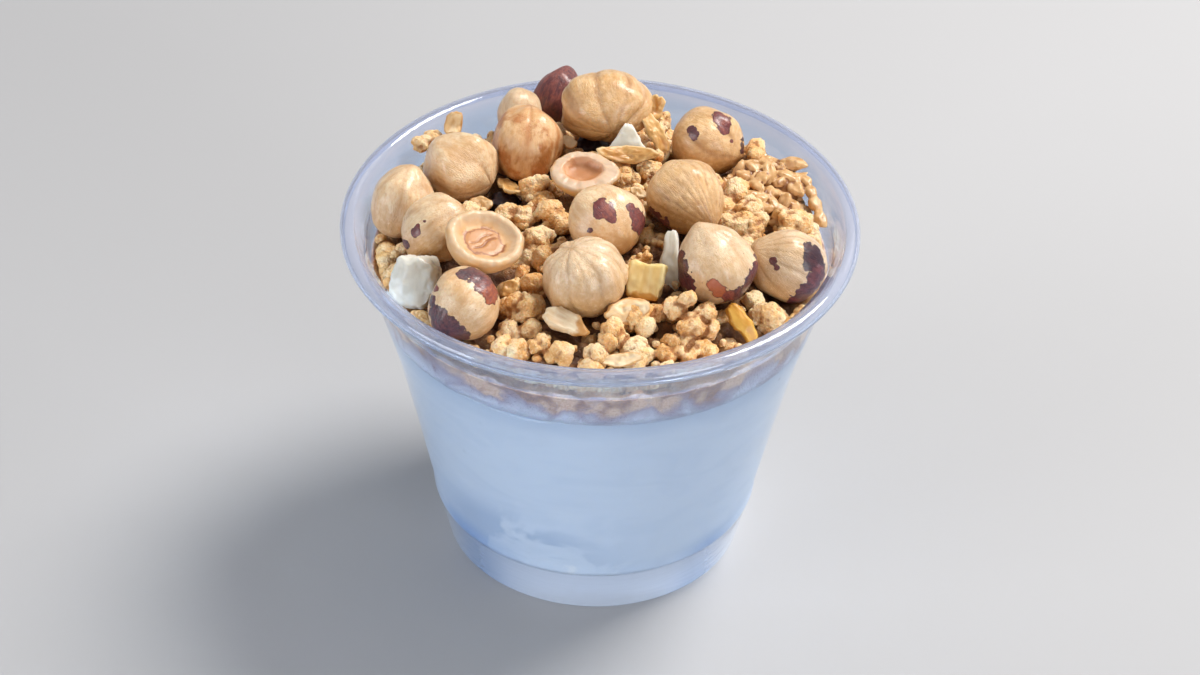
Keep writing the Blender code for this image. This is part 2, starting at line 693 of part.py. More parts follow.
def build_granola():
    """The granola heap: the core, its sockets, and the crumbs, clusters and puffed grains fused on."""
    balls = keep_clear_balls()
    heap = heap_core(balls)
    cut_sockets(heap)
    pieces = working_collection("pieces")
    add_clusters(pieces, balls)
    add_puffed_grains(pieces, balls)
    add_loose_crumbs(pieces, balls)
    combine(heap, pieces, "UNION", "MANIFOLD")
    keep_outer_shell(heap)
    thinned = heap.modifiers.new("fewer sides", "DECIMATE")
    thinned.ratio = HEAP_DECIMATE
    heap.data.shade_smooth()
    heap.data.set_sharp_from_angle(angle=math.radians(50))
    return heap


def main():
    """Build the cup and everything in it."""
    clear_scene()
    build_cup()
    build_yogurt()
    build_toppings()
    build_granola()


main()
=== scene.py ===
"""The looks of a clear cup of yogurt heaped with granola, hazelnut kernels, coconut and dried fruit.

Units are metres, +Z is up, the front is -Y, and the origin is the middle of the cup's foot. Each solid of
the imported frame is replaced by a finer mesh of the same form, and all pieces ride on the frame's one body.
"""

import itertools
import logging
import math
from dataclasses import dataclass, field
from enum import Enum

import bmesh
import bpy
import numpy as np
from mathutils import Matrix, Vector, noise


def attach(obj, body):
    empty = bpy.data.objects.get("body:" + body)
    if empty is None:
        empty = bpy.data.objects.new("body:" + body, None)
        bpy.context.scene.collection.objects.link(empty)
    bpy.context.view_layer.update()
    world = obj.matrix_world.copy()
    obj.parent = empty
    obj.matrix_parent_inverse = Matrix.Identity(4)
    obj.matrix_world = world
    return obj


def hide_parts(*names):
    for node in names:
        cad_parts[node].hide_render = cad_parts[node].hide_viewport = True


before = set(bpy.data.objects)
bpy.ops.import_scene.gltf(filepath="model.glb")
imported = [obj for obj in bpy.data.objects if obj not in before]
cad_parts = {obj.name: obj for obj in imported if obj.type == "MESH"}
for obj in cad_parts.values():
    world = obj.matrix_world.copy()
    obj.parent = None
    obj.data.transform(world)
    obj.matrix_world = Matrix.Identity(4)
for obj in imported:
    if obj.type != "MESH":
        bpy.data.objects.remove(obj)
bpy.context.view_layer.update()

Colour = tuple[float, float, float]
Place = tuple[float, float, float]
Ball = tuple[Place, float]
Array = np.ndarray
Lump = tuple[Array, float, int]
Socket = bpy.types.NodeSocket
Source = Socket | float | Colour | tuple[float, ...]

BODY = "root"
GOLDEN_ANGLE = math.pi * (3 - math.sqrt(5))
GOLDEN_SHARE = (math.sqrt(5) - 1) / 2
SHORTEST = 1e-12

NOISE_STEPS = np.array((73856093, 19349663, 83492791))
NOISE_SEED = 2654435761
NOISE_MIX = 1274126177
NOISE_MOST = 0x7FFFFFFF
NOISE_FINER = 2.03
NOISE_SHIFT = 7.7
JITTER = (1.7, 2.9, 4.3)


# --- numbers -----------------------------------------------------


def share_of(index: int, low: float, high: float) -> float:
    """A value between two limits that differs from index to index without a pattern that shows.

    Args:
        index: Which one of many.
        low: The least value.
        high: The greatest value.

    Returns:
        The value.
    """
    return low + (high - low) * ((index * GOLDEN_SHARE) % 1.0)


def lattice_noise(points: Array, seed: int = 0) -> Array:
    """Smooth noise from -1 to 1 that repeats exactly for the same points and seed.

    Args:
        points: One point a row, in units of the noise's cells.
        seed: Which noise.

    Returns:
        One value a point.
    """
    cell = np.floor(points).astype(np.int64)
    part = points - cell
    ease = part * part * part * (part * (part * 6 - 15) + 10)
    total = np.zeros(len(points))
    for corner in itertools.product((0, 1), repeat=3):
        spot = cell + np.array(corner)
        mixed = np.bitwise_xor.reduce(spot * NOISE_STEPS, axis=1) ^ (seed * NOISE_SEED)
        mixed = (mixed ^ (mixed >> 13)) * NOISE_MIX & NOISE_MOST
        value = ((mixed ^ (mixed >> 15)) & 0xFFFF) / 32767.5 - 1
        total += np.prod(np.where(corner, ease, 1 - ease), axis=1) * value
    return total


def layered_noise(points: Array, octaves: int = 3, seed: int = 0) -> Array:
    """Lattice noise with finer layers on it, each half as strong and about twice as fine.

    Args:
        points: One point a row, in units of the coarsest cells.
        octaves: How many layers.
        seed: Which noise.

    Returns:
        One value a point, mostly from -1 to 1.
    """
    total = np.zeros(len(points))
    for octave in range(octaves):
        finer = points * NOISE_FINER**octave + octave * NOISE_SHIFT
        total += lattice_noise(finer, seed + octave) * 0.5**octave
    return total


def steady_noise(points: Array) -> Array:
    """Blender's own smooth noise at each row, which the solids use too."""
    return np.array([noise.noise(Vector(point)) for point in points])


def unit(vectors: Array) -> Array:
    """The rows of an array at length one."""
    return vectors / np.maximum(np.linalg.norm(vectors, axis=-1, keepdims=True), SHORTEST)


def smooth_step(values: Array, low: float, high: float) -> Array:
    """0 below low, 1 above high, and an even slope between."""
    share = np.clip((values - low) / (high - low), 0, 1)
    return share * share * (3 - 2 * share)


def bell(values: Array, width: float) -> Array:
    """1 at nought, falling off evenly on both sides."""
    return np.exp(-((values / width) ** 2))


def round_about(angle: Array, radius: float | Array, along: Array) -> Array:
    """Points round an axis, where noise meets itself after a full turn."""
    return np.column_stack((np.cos(angle) * radius, np.sin(angle) * radius, along))


def scattered(count: int, turned: float, shift: float, jitter: float) -> Array:
    """Directions spread over a ball, each a little out of place.

    Args:
        count: How many.
        turned: How far all of them are turned round the axis.
        shift: What sets which way each is moved.
        jitter: How far it is moved at most.

    Returns:
        One unit vector a row.
    """
    steps = np.arange(count)
    level = 1 - 2 * (steps + 0.5) / count
    even = round_about(steps * GOLDEN_ANGLE + turned, np.sqrt(1 - level**2), level)
    return unit(even + jitter * np.sin(np.outer(steps + shift, JITTER)))


def turn_to(direction: Place) -> Array:
    """The 3 by 3 rotation that takes +Z to a direction."""
    return np.array(Vector(direction).normalized().to_track_quat("Z", "Y").to_matrix())


def axes_of(points: Place, faces: Place) -> Array:
    """The rotation whose Z lies along one direction and whose Y faces another.

    Args:
        points: Where the length points.
        faces: Where the broad side faces, roughly.

    Returns:
        The 3 by 3 rotation, with width, facing and length as its columns.
    """
    length = unit(np.array(points, float))
    facing = np.array(faces, float)
    facing = unit(facing - facing @ length * length)
    return np.column_stack((np.cross(facing, length), facing, length))


# --- meshes ------------------------------------------------------


@dataclass
class Shell:
    """A mesh in the making: points, faces and named values at the points."""

    points: Array
    faces: list[tuple[int, ...]]
    values: dict[str, Array] = field(default_factory=dict)

    def moved(self, turn: Array, centre: Place) -> "Shell":
        """The shell turned and then moved, with the same faces and values."""
        return Shell(self.points @ turn.T + np.array(centre), self.faces, self.values)

    @staticmethod
    def joined(shells: list["Shell"]) -> "Shell":
        """One shell made of many that carry the same values.

        Args:
            shells: The shells, in order.

        Returns:
            The one shell.
        """
        faces: list[tuple[int, ...]] = []
        start = 0
        for shell in shells:
            faces += [tuple(corner + start for corner in face) for face in shell.faces]
            start += len(shell.points)
        names = shells[0].values
        values = {name: np.concatenate([shell.values[name] for shell in shells]) for name in names}
        return Shell(np.concatenate([shell.points for shell in shells]), faces, values)

    def piece(self, name: str, finish: "Finish", node: str, slot: str) -> bpy.types.Object:
        """Make the object, ride it on the body and hide the node of the frame that it replaces.

        Args:
            name: The piece's name.
            finish: What its surface is like.
            node: The node of the frame that it replaces.
            slot: The record's material slot; not used.

        Returns:
            The object.
        """
        mesh = bpy.data.meshes.new(name)
        mesh.from_pydata(self.points.tolist(), [], self.faces)
        for key, values in self.values.items():
            wide = values.ndim == 2
            layer = mesh.attributes.new(key, "FLOAT_VECTOR" if wide else "FLOAT", "POINT")
            layer.data.foreach_set("vector" if wide else "value", values.astype(np.float32).ravel())
        mesh.shade_smooth()
        mesh.materials.append(finish.material())
        made = bpy.data.objects.new(name, mesh)
        bpy.context.scene.collection.objects.link(made)
        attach(made, BODY)
        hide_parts(node)
        logging.info("%s: %d faces", name, len(self.faces))
        return made


def revolved(profile: Array, segments: int) -> Shell:
    """A profile turned round +Z.

    Args:
        profile: Rows of radius and height, going so that the outside is on their right; it starts and ends
            on the axis.
        segments: How many steps round.

    Returns:
        The closed shell, with its first and last point on the axis.
    """
    angles = np.arange(segments) * math.tau / segments
    rings = profile[1:-1]
    x = rings[:, :1] * np.cos(angles)
    y = rings[:, :1] * np.sin(angles)
    z = np.repeat(rings[:, 1:], segments, axis=1)
    body = np.stack((x, y, z), axis=-1).reshape(-1, 3)
    ends = np.array(((0, 0, profile[0, 1]), (0, 0, profile[-1, 1])))
    points = np.concatenate((body, ends))
    first, last = len(body), len(body) + 1
    after = [(step + 1) % segments for step in range(segments)]
    faces: list[tuple[int, ...]] = [(first, after[step], step) for step in range(segments)]
    for low in range(0, (len(rings) - 1) * segments, segments):
        high = low + segments
        faces += [(low + a, low + b, high + b, high + a) for a, b in enumerate(after)]
    top = (len(rings) - 1) * segments
    faces += [(last, top + step, top + after[step]) for step in range(segments)]
    return Shell(points, faces)


def ball(rings: int, segments: int) -> Shell:
    """A unit ball with poles at +Z and -Z."""
    polar = np.linspace(math.pi, 0, rings + 1)
    return revolved(np.column_stack((np.sin(polar), np.cos(polar))), segments)


def even_ball(level: int) -> Shell:
    """A unit ball of even triangles.

    Args:
        level: How fine it is; each level has four times as many triangles.

    Returns:
        The ball.
    """
    shape = bmesh.new()
    bmesh.ops.create_icosphere(shape, subdivisions=level, radius=1.0)
    points = np.array([point.co for point in shape.verts])
    faces = [tuple(point.index for point in face.verts) for face in shape.faces]
    shape.free()
    return Shell(points, faces)


def block(cells: int) -> Shell:
    """A cube from -0.5 to 0.5 with its sides cut into cells.

    Args:
        cells: How many cells a side.

    Returns:
        The cube.
    """
    shape = bmesh.new()
    bmesh.ops.create_cube(shape, size=1.0)
    bmesh.ops.subdivide_edges(shape, edges=shape.edges, cuts=cells - 1, use_grid_fill=True)
    shape.verts.index_update()
    points = np.array([point.co for point in shape.verts])
    faces = [tuple(point.index for point in face.verts) for face in shape.faces]
    shape.free()
    return Shell(points, faces)


HOLLOW_ROUNDS = 12


def hollows(points: Array, normals: Array, edges: Array) -> Array:
    """How deep each point lies in a hollow, in metres; below zero on bumps.

    Args:
        points: The points.
        normals: Their outward directions.
        edges: Pairs of neighbours.

    Returns:
        One depth a point.
    """
    ends, others = np.concatenate((edges, edges[:, ::-1])).T
    count = np.bincount(ends, minlength=len(points))[:, None]
    smooth = points
    for _ in range(HOLLOW_ROUNDS):
        sums = [np.bincount(ends, smooth[others, axis], len(points)) for axis in range(3)]
        smooth = np.column_stack(sums) / count
    return ((smooth - points) * normals).sum(axis=1)


def melted(shell: Shell, voxel: float, rounds: int) -> tuple[Shell, Array]:
    """Overlapping shells melted into one skin.

    Args:
        shell: The shells, joined.
        voxel: The size of the new skin's steps.
        rounds: How often it is smoothed.

    Returns:
        The one skin, with the value "hollow", and its outward directions.
    """
    mesh = bpy.data.meshes.new("melting")
    mesh.from_pydata(shell.points.tolist(), [], shell.faces)
    maker = bpy.data.objects.new("melting", mesh)
    bpy.context.scene.collection.objects.link(maker)
    remesh = maker.modifiers.new("melt", "REMESH")
    remesh.mode = "VOXEL"
    remesh.voxel_size = voxel
    smooth = maker.modifiers.new("soften", "SMOOTH")
    smooth.iterations = rounds
    seen = maker.evaluated_get(bpy.context.evaluated_depsgraph_get())
    result = seen.to_mesh()
    points = np.array([point.co for point in result.vertices])
    normals = np.array([point.normal for point in result.vertices])
    edges = np.array([tuple(edge.vertices) for edge in result.edges])
    faces = [tuple(face.vertices) for face in result.polygons]
    seen.to_mesh_clear()
    bpy.data.objects.remove(maker)
    bpy.data.meshes.remove(mesh)
    return Shell(points, faces, {"hollow": hollows(points, normals, edges)}), normals


# --- finishes ----------------------------------------------------


class Graph:
    """A material's node tree, put together link by link."""

    def __init__(self, name: str) -> None:
        """Start an empty material.

        Args:
            name: The material's name.
        """
        self.material = bpy.data.materials.new(name)
        self.material.use_nodes = True
        self.tree = self.material.node_tree
        self.tree.nodes.clear()
        self.output = self.tree.nodes.new("ShaderNodeOutputMaterial")

    def feed(self, socket: Socket, value: Source) -> None:
        """Link a socket to another, or set its value.

        Args:
            socket: The input.
            value: The output to link, or the value to set.
        """
        if isinstance(value, Socket):
            self.tree.links.new(value, socket)
        elif socket.type == "RGBA" and isinstance(value, tuple):
            socket.default_value = (*value[:3], 1.0)
        else:
            socket.default_value = value

    def node(self, kind: str, inputs: dict, **settings: object) -> bpy.types.Node:
        """Add a node.

        Args:
            kind: Its type, after the word ShaderNode.
            inputs: Values or sockets by input name or number.
            **settings: The node's own settings.

        Returns:
            The node.
        """
        made = self.tree.nodes.new("ShaderNode" + kind)
        for key, value in settings.items():
            setattr(made, key, value)
        for key, value in inputs.items():
            self.feed(made.inputs[key], value)
        return made

    def here(self) -> Socket:
        """The point on the piece, in metres."""
        return self.node("TexCoord", {}).outputs["Object"]

    def value(self, name: str) -> Socket:
        """A named value of the mesh."""
        return self.node("Attribute", {}, attribute_name=name).outputs["Fac"]

    def vector(self, name: str) -> Socket:
        """A named vector of the mesh."""
        return self.node("Attribute", {}, attribute_name=name).outputs["Vector"]

    def noise(
        self, where: Source, scale: float, detail: float = 3.0, twist: float = 0.0
    ) -> Socket:
        """Cloudy noise from 0 to 1.

        Args:
            where: The point to take it at.
            scale: How many clouds a unit.
            detail: How many finer layers.
            twist: How much it is bent out of shape.

        Returns:
            The noise's value.
        """
        inputs = {"Vector": where, "Scale": scale, "Detail": detail, "Distortion": twist}
        return self.node("TexNoise", inputs).outputs["Fac"]

    def stretched(self, scale: Place) -> Socket:
        """The point on the piece, with each axis scaled."""
        return self.node("Mapping", {"Vector": self.here(), "Scale": scale}).outputs[0]

    def cells(self, where: Source, scale: float) -> Socket:
        """The distance to the nearest of many scattered points."""
        return self.node("TexVoronoi", {"Vector": where, "Scale": scale}).outputs["Distance"]

    def sum(self, kind: str, first: Source, second: Source) -> Socket:
        """One step of arithmetic, such as ADD or MULTIPLY."""
        return self.node("Math", {0: first, 1: second}, operation=kind).outputs[0]

    def remap(
        self, value: Source, low: float, high: float, to_low: float = 0.0, to_high: float = 1.0
    ) -> Socket:
        """Stretch a range onto another, without going past its ends.

        Args:
            value: What to stretch.
            low: The value that becomes to_low.
            high: The value that becomes to_high.
            to_low: The result at low.
            to_high: The result at high.

        Returns:
            The stretched value.
        """
        inputs = {"Value": value, "From Min": low, "From Max": high, "To Min": to_low, "To Max": to_high}
        return self.node("MapRange", inputs, interpolation_type="SMOOTHSTEP").outputs[0]

    def mix(self, share: Source, first: Source, second: Source, kind: str = "MIX") -> Socket:
        """Blend two colours.

        Args:
            share: How much of the second.
            first: A colour.
            second: A colour.
            kind: The blend, such as MIX or MULTIPLY.

        Returns:
            The blended colour.
        """
        inputs = {0: share, 6: first, 7: second}
        return self.node("Mix", inputs, data_type="RGBA", blend_type=kind).outputs[2]

    def ramp(self, value: Source, *stops: tuple[float, Colour]) -> Socket:
        """A colour that changes along a value.

        Args:
            value: Where on the ramp.
            *stops: Positions and their colours, in order.

        Returns:
            The colour.
        """
        made = self.node("ValToRGB", {"Fac": value})
        while len(made.color_ramp.elements) < len(stops):
            made.color_ramp.elements.new(1.0)
        for element, (position, colour) in zip(made.color_ramp.elements, stops):
            element.position = position
            element.color = (*colour, 1.0)
        return made.outputs["Color"]

    def bump(self, height: Source, depth: float, under: Source | None = None) -> Socket:
        """Fine relief.

        Args:
            height: The relief, from 0 to 1.
            depth: How deep it is, in metres.
            under: The relief that it lies on.

        Returns:
            The bent normal.
        """
        inputs = {"Height": height, "Distance": depth, "Strength": 1.0}
        if under is not None:
            inputs["Normal"] = under
        return self.node("Bump", inputs).outputs[0]

    def surface(self, inputs: dict, glow: float = 0.0, glow_reach: Place | None = None) -> None:
        """Put a Principled shader on the surface output.

        Args:
            inputs: Values or sockets by input name.
            glow: How much light goes in under the surface.
            glow_reach: How far red, green and blue light go there, in metres.
        """
        if glow_reach is not None:
            inside = {"Subsurface Weight": glow, "Subsurface Radius": glow_reach, "Subsurface Scale": 1.0}
            inputs = inputs | inside
        self.feed(self.output.inputs["Surface"], self.node("BsdfPrincipled", inputs).outputs[0])


@dataclass(frozen=True)
class Finish:
    """A named surface that makes its material once."""

    name: str

    def material(self) -> bpy.types.Material:
        """The material, made the first time it is asked for.

        Returns:
            The material.
        """
        if self.name not in bpy.data.materials:
            graph = Graph(self.name)
            self.dress(graph)
        return bpy.data.materials[self.name]

    def dress(self, graph: Graph) -> None:
        """Fill the node tree; each kind of finish has its own way."""
        raise NotImplementedError


@dataclass(frozen=True)
class ClearPlastic(Finish):
    """Thin clear plastic with fine streaks and a little haze, tinted more in its wall than its foot, with
    painted dark blue shade in places on its foot.
    """

    tint: Colour
    lip_tint: Colour
    foot_tint: Colour
    foot_shade_tint: Colour
    lamp_tint: Colour

    refraction = 1.46
    streak_stretch = (1, 1, 9)
    streak_scale = 160
    streak_relief = 0.00003

    def dress(self, graph: Graph) -> None:
        """Glass that lets lamps through.

        Args:
            graph: The node tree to fill.
        """
        streaks = graph.noise(graph.stretched(self.streak_stretch), self.streak_scale, 2)
        tint = graph.mix(graph.value("in_lip"), self.tint, self.lip_tint)
        tint = graph.mix(graph.value("in_foot"), tint, self.foot_tint)
        # painted shade: dark blue tint in two places on the foot
        tint = graph.mix(graph.value("foot_shade"), tint, self.foot_shade_tint)
        glass = graph.node(
            "BsdfPrincipled",
            {
                "Base Color": tint,
                "Roughness": graph.remap(streaks, 0.4, 0.7, 0.03, 0.09),
                "IOR": self.refraction,
                "Transmission Weight": graph.value("clear"),
                "Normal": graph.bump(streaks, self.streak_relief),
            },
        )
        lamp = graph.node("BsdfTransparent", {"Color": self.lamp_tint})
        shadow = graph.node("LightPath", {}).outputs["Is Shadow Ray"]
        both = graph.node("MixShader", {0: shadow, 1: glass.outputs[0], 2: lamp.outputs[0]})
        graph.feed(graph.output.inputs["Surface"], both.outputs[0])


@dataclass(frozen=True)
class Yogurt(Finish):
    """White yogurt seen through the wall: dull where it lacks contact and, as painted shade, near its top;
    thick in places, with specks.
    """

    white: Colour
    dull: Colour
    thick: Colour
    blue: Colour
    speck: Colour

    streak_stretch = (1, 1, 3)
    streak_scale = 60
    cloud_scale = 70
    speck_scale = 130
    relief = 0.00025
    glow = 0.35
    glow_reach = (0.004, 0.0035, 0.003)

    def dress(self, graph: Graph) -> None:
        """White, with blotches low down, painted shade near the top, and painted dark blue shade at the
        foot.

        Args:
            graph: The node tree to fill.
        """
        here = graph.here()
        clouds = graph.noise(here, self.cloud_scale, 4, 0.8)
        streaks = graph.noise(graph.stretched(self.streak_stretch), self.streak_scale, 3, 1.2)
        base = graph.mix(graph.remap(streaks, 0.4, 0.7, 0.0, 0.2), self.white, self.dull)
        # painted shade near the top, under the granola
        base = graph.mix(graph.value("shaded"), base, self.dull)
        loose = graph.sum("MULTIPLY", graph.value("blotch"), graph.remap(clouds, 0.44, 0.53))
        base = graph.mix(loose, base, self.dull)
        islands = graph.sum("MULTIPLY", graph.value("blotch"), graph.remap(clouds, 0.38, 0.3, 0.0, 0.7))
        base = graph.mix(islands, base, self.thick)
        # painted shade: dark blue at the foot, at the same places as on the plastic
        base = graph.mix(graph.value("foot_shade"), base, self.blue)
        specks = graph.remap(graph.cells(here, self.speck_scale), 0.035, 0.06, 1.0, 0.0)
        base = graph.mix(graph.sum("MULTIPLY", specks, graph.value("speck")), base, self.speck)
        rough = graph.remap(clouds, 0.3, 0.7, 0.3, 0.45)
        relief = graph.bump(clouds, self.relief)
        look = {"Base Color": base, "Roughness": rough, "Normal": relief}
        graph.surface(look, self.glow, self.glow_reach)


@dataclass(frozen=True)
class Baked(Finish):
    """Baked oats: sandy lumps, lighter on top as painted light, with honey brown hollows darkened partly by
    pooled glaze and partly as painted shade; at the wall, chunks smeared with yogurt.
    """

    # near-black painted shade for places below the heap's surface
    hollow: Colour
    burnt_and_shade: Colour
    honey: Colour
    sand: Colour
    pale: Colour
    pressed: Colour
    between: Colour
    mauve: Colour
    smear: Colour

    grain_scale = 2600
    patch_scale = 420
    pit_scale = 1300
    broad_scale = 190
    char_scale = 520
    cloud_scale = 150
    chunk_scale = 215
    chunk_bend = 0.004
    bend_scale = 300.0
    grain_relief = 0.0001
    pit_relief = 0.00012
    glow = 0.22
    glow_reach = (0.0016, 0.0009, 0.0004)

    def dress(self, graph: Graph) -> None:
        """Colour by lump, by hollow and by grain, and the film of yogurt on the bed's side.

        Args:
            graph: The node tree to fill.
        """
        here = graph.here()
        grain = graph.remap(graph.noise(here, self.grain_scale, 4), 0.33, 0.67)
        patches = graph.noise(here, self.patch_scale, 3, 0.4)
        pits = graph.remap(graph.cells(here, self.pit_scale), 0.1, 0.45)
        broad = graph.noise(here, self.broad_scale, 3, 0.6)
        tone = graph.sum("ADD", graph.value("tone"), graph.remap(patches, 0.3, 0.7, -0.2, 0.2))
        tone = graph.sum("ADD", tone, graph.remap(broad, 0.35, 0.65, -0.2, 0.2))
        stops = ((0.0, self.burnt_and_shade), (0.22, self.honey), (0.55, self.sand), (0.95, self.pale))
        base = graph.ramp(tone, *stops)
        base = graph.mix(graph.remap(grain, 0.55, 1.0, 0.0, 0.45), base, self.pale)
        base = graph.mix(graph.remap(grain, 0.0, 0.35, 0.35, 0.0), base, self.honey)
        charred = graph.remap(graph.cells(here, self.char_scale), 0.04, 0.14, 0.4, 0.0)
        base = graph.mix(charred, base, self.burnt_and_shade)
        # darker hollows: partly pooled glaze and partly painted shade
        base = graph.mix(graph.value("pit"), base, self.burnt_and_shade)
        # painted shade: near black the further a point lies below the heap's surface
        base = graph.mix(graph.value("deep"), base, self.hollow)
        clouds = graph.remap(graph.noise(here, self.cloud_scale, 4, 0.5), 0.34, 0.66, -0.3, 0.3)
        wet = graph.sum("ADD", graph.value("smear"), clouds)
        waves = graph.node("TexNoise", {"Vector": here, "Scale": self.bend_scale}).outputs["Color"]
        edges = graph.cells(graph.mix(self.chunk_bend, here, waves), self.chunk_scale)
        edges = graph.remap(edges, 0.36, 0.7)
        # painted shade in the gaps between the pressed chunks
        chunks = graph.mix(edges, self.pressed, self.between)
        chunks = graph.mix(graph.remap(grain, 0.3, 0.9, 0.0, 0.4), chunks, base)
        milky = graph.ramp(wet, (0.4, self.mauve), (0.9, self.smear))
        film = graph.mix(graph.remap(wet, 0.12, 0.5), chunks, milky)
        base = graph.mix(graph.value("side"), base, film)
        rough = graph.remap(patches, 0.35, 0.7, 0.7, 0.38)
        relief = graph.bump(grain, self.grain_relief, graph.bump(pits, self.pit_relief))
        look = {"Base Color": base, "Roughness": rough, "Normal": relief}
        graph.surface(look, self.glow, self.glow_reach)


@dataclass(frozen=True)
class Peeled(Finish):
    """A peeled kernel: streaks from pole to pole, mottling, and what is left of its dark skin."""

    light: Colour
    body: Colour
    shade: Colour
    # toasted colour, also used for painted shade on the kernel's lower side
    toast_and_shade: Colour
    mottle: float = 0.25
    mottle_from: float = 0.42
    mottle_to: float = 0.7
    skin_dark: Colour = (0.045, 0.016, 0.026)
    skin_red: Colour = (0.20, 0.045, 0.042)
    skin_rust: Colour = (0.46, 0.12, 0.045)

    streak_scale = 2.6
    fine_scale = 9
    cloud_scale = 260
    broad_scale = 105
    dust_scale = 1000
    dot_scale = 330
    ragged_scale = 900
    skin_relief = 0.00012
    streak_relief = 0.0002
    oily = 0.5
    oil_roughness = 0.22
    glow = 0.16
    glow_reach = (0.0022, 0.0012, 0.0006)

    def flesh(self, graph: Graph, streaks: Socket, fine: Socket,
              clouds: Socket) -> Socket:
        """The kernel's colour without its skin, including painted shade on its lower side and in its
        creases.

        Args:
            graph: The node tree.
            streaks: Noise drawn out from pole to pole.
            fine: The same, finer.
            clouds: Noise for the mottling.

        Returns:
            The colour.
        """
        broad = graph.noise(graph.here(), self.broad_scale, 3, 0.8)
        dusty = graph.noise(graph.here(), self.dust_scale, 4, 0.3)
        base = graph.ramp(streaks, (0.36, self.body), (0.6, self.light))
        base = graph.mix(graph.remap(broad, 0.48, 0.68, 0.0, 0.5), base, self.toast_and_shade)
        # painted shade: the lower side is mixed toward the toasted colour
        base = graph.mix(graph.value("under"), base, self.toast_and_shade)
        mottled = graph.remap(clouds, self.mottle_from, self.mottle_to, 0.0, self.mottle)
        base = graph.mix(mottled, base, self.shade)
        base = graph.mix(graph.remap(dusty, 0.48, 0.72, 0.0, 0.28), base, self.shade)
        base = graph.mix(graph.remap(dusty, 0.5, 0.3, 0.0, 0.35), base, self.light)
        base = graph.mix(graph.remap(fine, 0.5, 0.75, 0.0, 0.35), base, self.toast_and_shade)
        # painted shade in the creases between the folds
        base = graph.mix(graph.value("crease"), base, self.shade)
        base = graph.mix(graph.value("pole"), base, self.shade)
        dots = graph.remap(graph.cells(graph.here(), self.dot_scale), 0.03, 0.05, 0.55, 0.0)
        return graph.mix(dots, base, self.skin_red)

    def dress(self, graph: Graph) -> None:
        """Streaks and mottling under ragged skin.

        Args:
            graph: The node tree to fill.
        """
        along = graph.vector("grain")
        streaks = graph.noise(along, self.streak_scale, 5, 0.3)
        fine = graph.noise(along, self.fine_scale, 3, 0.2)
        clouds = graph.noise(graph.here(), self.cloud_scale, 4, 0.5)
        base = self.flesh(graph, streaks, fine, clouds)
        frayed = graph.remap(graph.noise(graph.here(), self.ragged_scale, 3), 0.2, 0.8, -0.3, 0.3)
        ragged = graph.sum("ADD", graph.value("skin"), frayed)
        skin = graph.remap(ragged, -0.04, 0.06)
        hue = graph.sum("ADD", graph.value("hue"), graph.remap(streaks, 0.3, 0.7, -0.15, 0.15))
        dark = graph.ramp(hue, (0.1, self.skin_dark), (0.55, self.skin_red), (1.0, self.skin_rust))
        dark = graph.mix(graph.remap(fine, 0.55, 0.75, 0.0, 0.25), dark, self.skin_rust)
        dark = graph.mix(graph.remap(ragged, 0.05, 0.22, 0.55, 0.0), dark, self.skin_dark)
        inputs = {
            "Base Color": graph.mix(skin, base, dark),
            "Roughness": graph.remap(clouds, 0.3, 0.7, 0.27, 0.43),
            "Coat Weight": self.oily,
            "Coat Roughness": self.oil_roughness,
            "Normal": graph.bump(skin, self.skin_relief, graph.bump(fine, self.streak_relief)),
        }
        graph.surface(inputs, self.glow, self.glow_reach)


@dataclass(frozen=True)
class CutKernel(Finish):
    """A halved kernel: pale rim, darker halo, a tan seed with a dark outline of painted shade, and a browner
    underside.
    """

    rim: Colour
    halo: Colour
    seed: Colour
    line: Colour
    underside: Colour

    cloud_scale = 500
    relief = 0.00012
    glow = 0.15
    glow_reach = (0.0022, 0.0012, 0.0006)

    def dress(self, graph: Graph) -> None:
        """Colour by how far out a point is; half of that value is the place on the ramp.

        Args:
            graph: The node tree to fill.
        """
        clouds = graph.noise(graph.here(), self.cloud_scale, 4, 0.4)
        out = graph.sum("ADD", graph.value("reach"), graph.remap(clouds, 0.3, 0.7, -0.07, 0.07))
        base = graph.ramp(
            graph.sum("MULTIPLY", out, 0.5),
            (0.0, self.seed),
            (0.21, self.seed),
            # painted shade: a dark ring in the groove round the seed
            (0.24, self.line),
            (0.275, self.halo),
            (0.36, self.rim),
            (0.46, self.rim),
            (0.53, self.underside),
        )
        base = graph.mix(graph.value("crack"), base, self.line)
        base = graph.mix(graph.remap(clouds, 0.5, 0.8, 0.0, 0.4), base, self.halo)
        rough = graph.remap(clouds, 0.3, 0.7, 0.35, 0.55)
        relief = graph.bump(clouds, self.relief)
        look = {"Base Color": base, "Roughness": rough, "Normal": relief}
        graph.surface(look, self.glow, self.glow_reach)


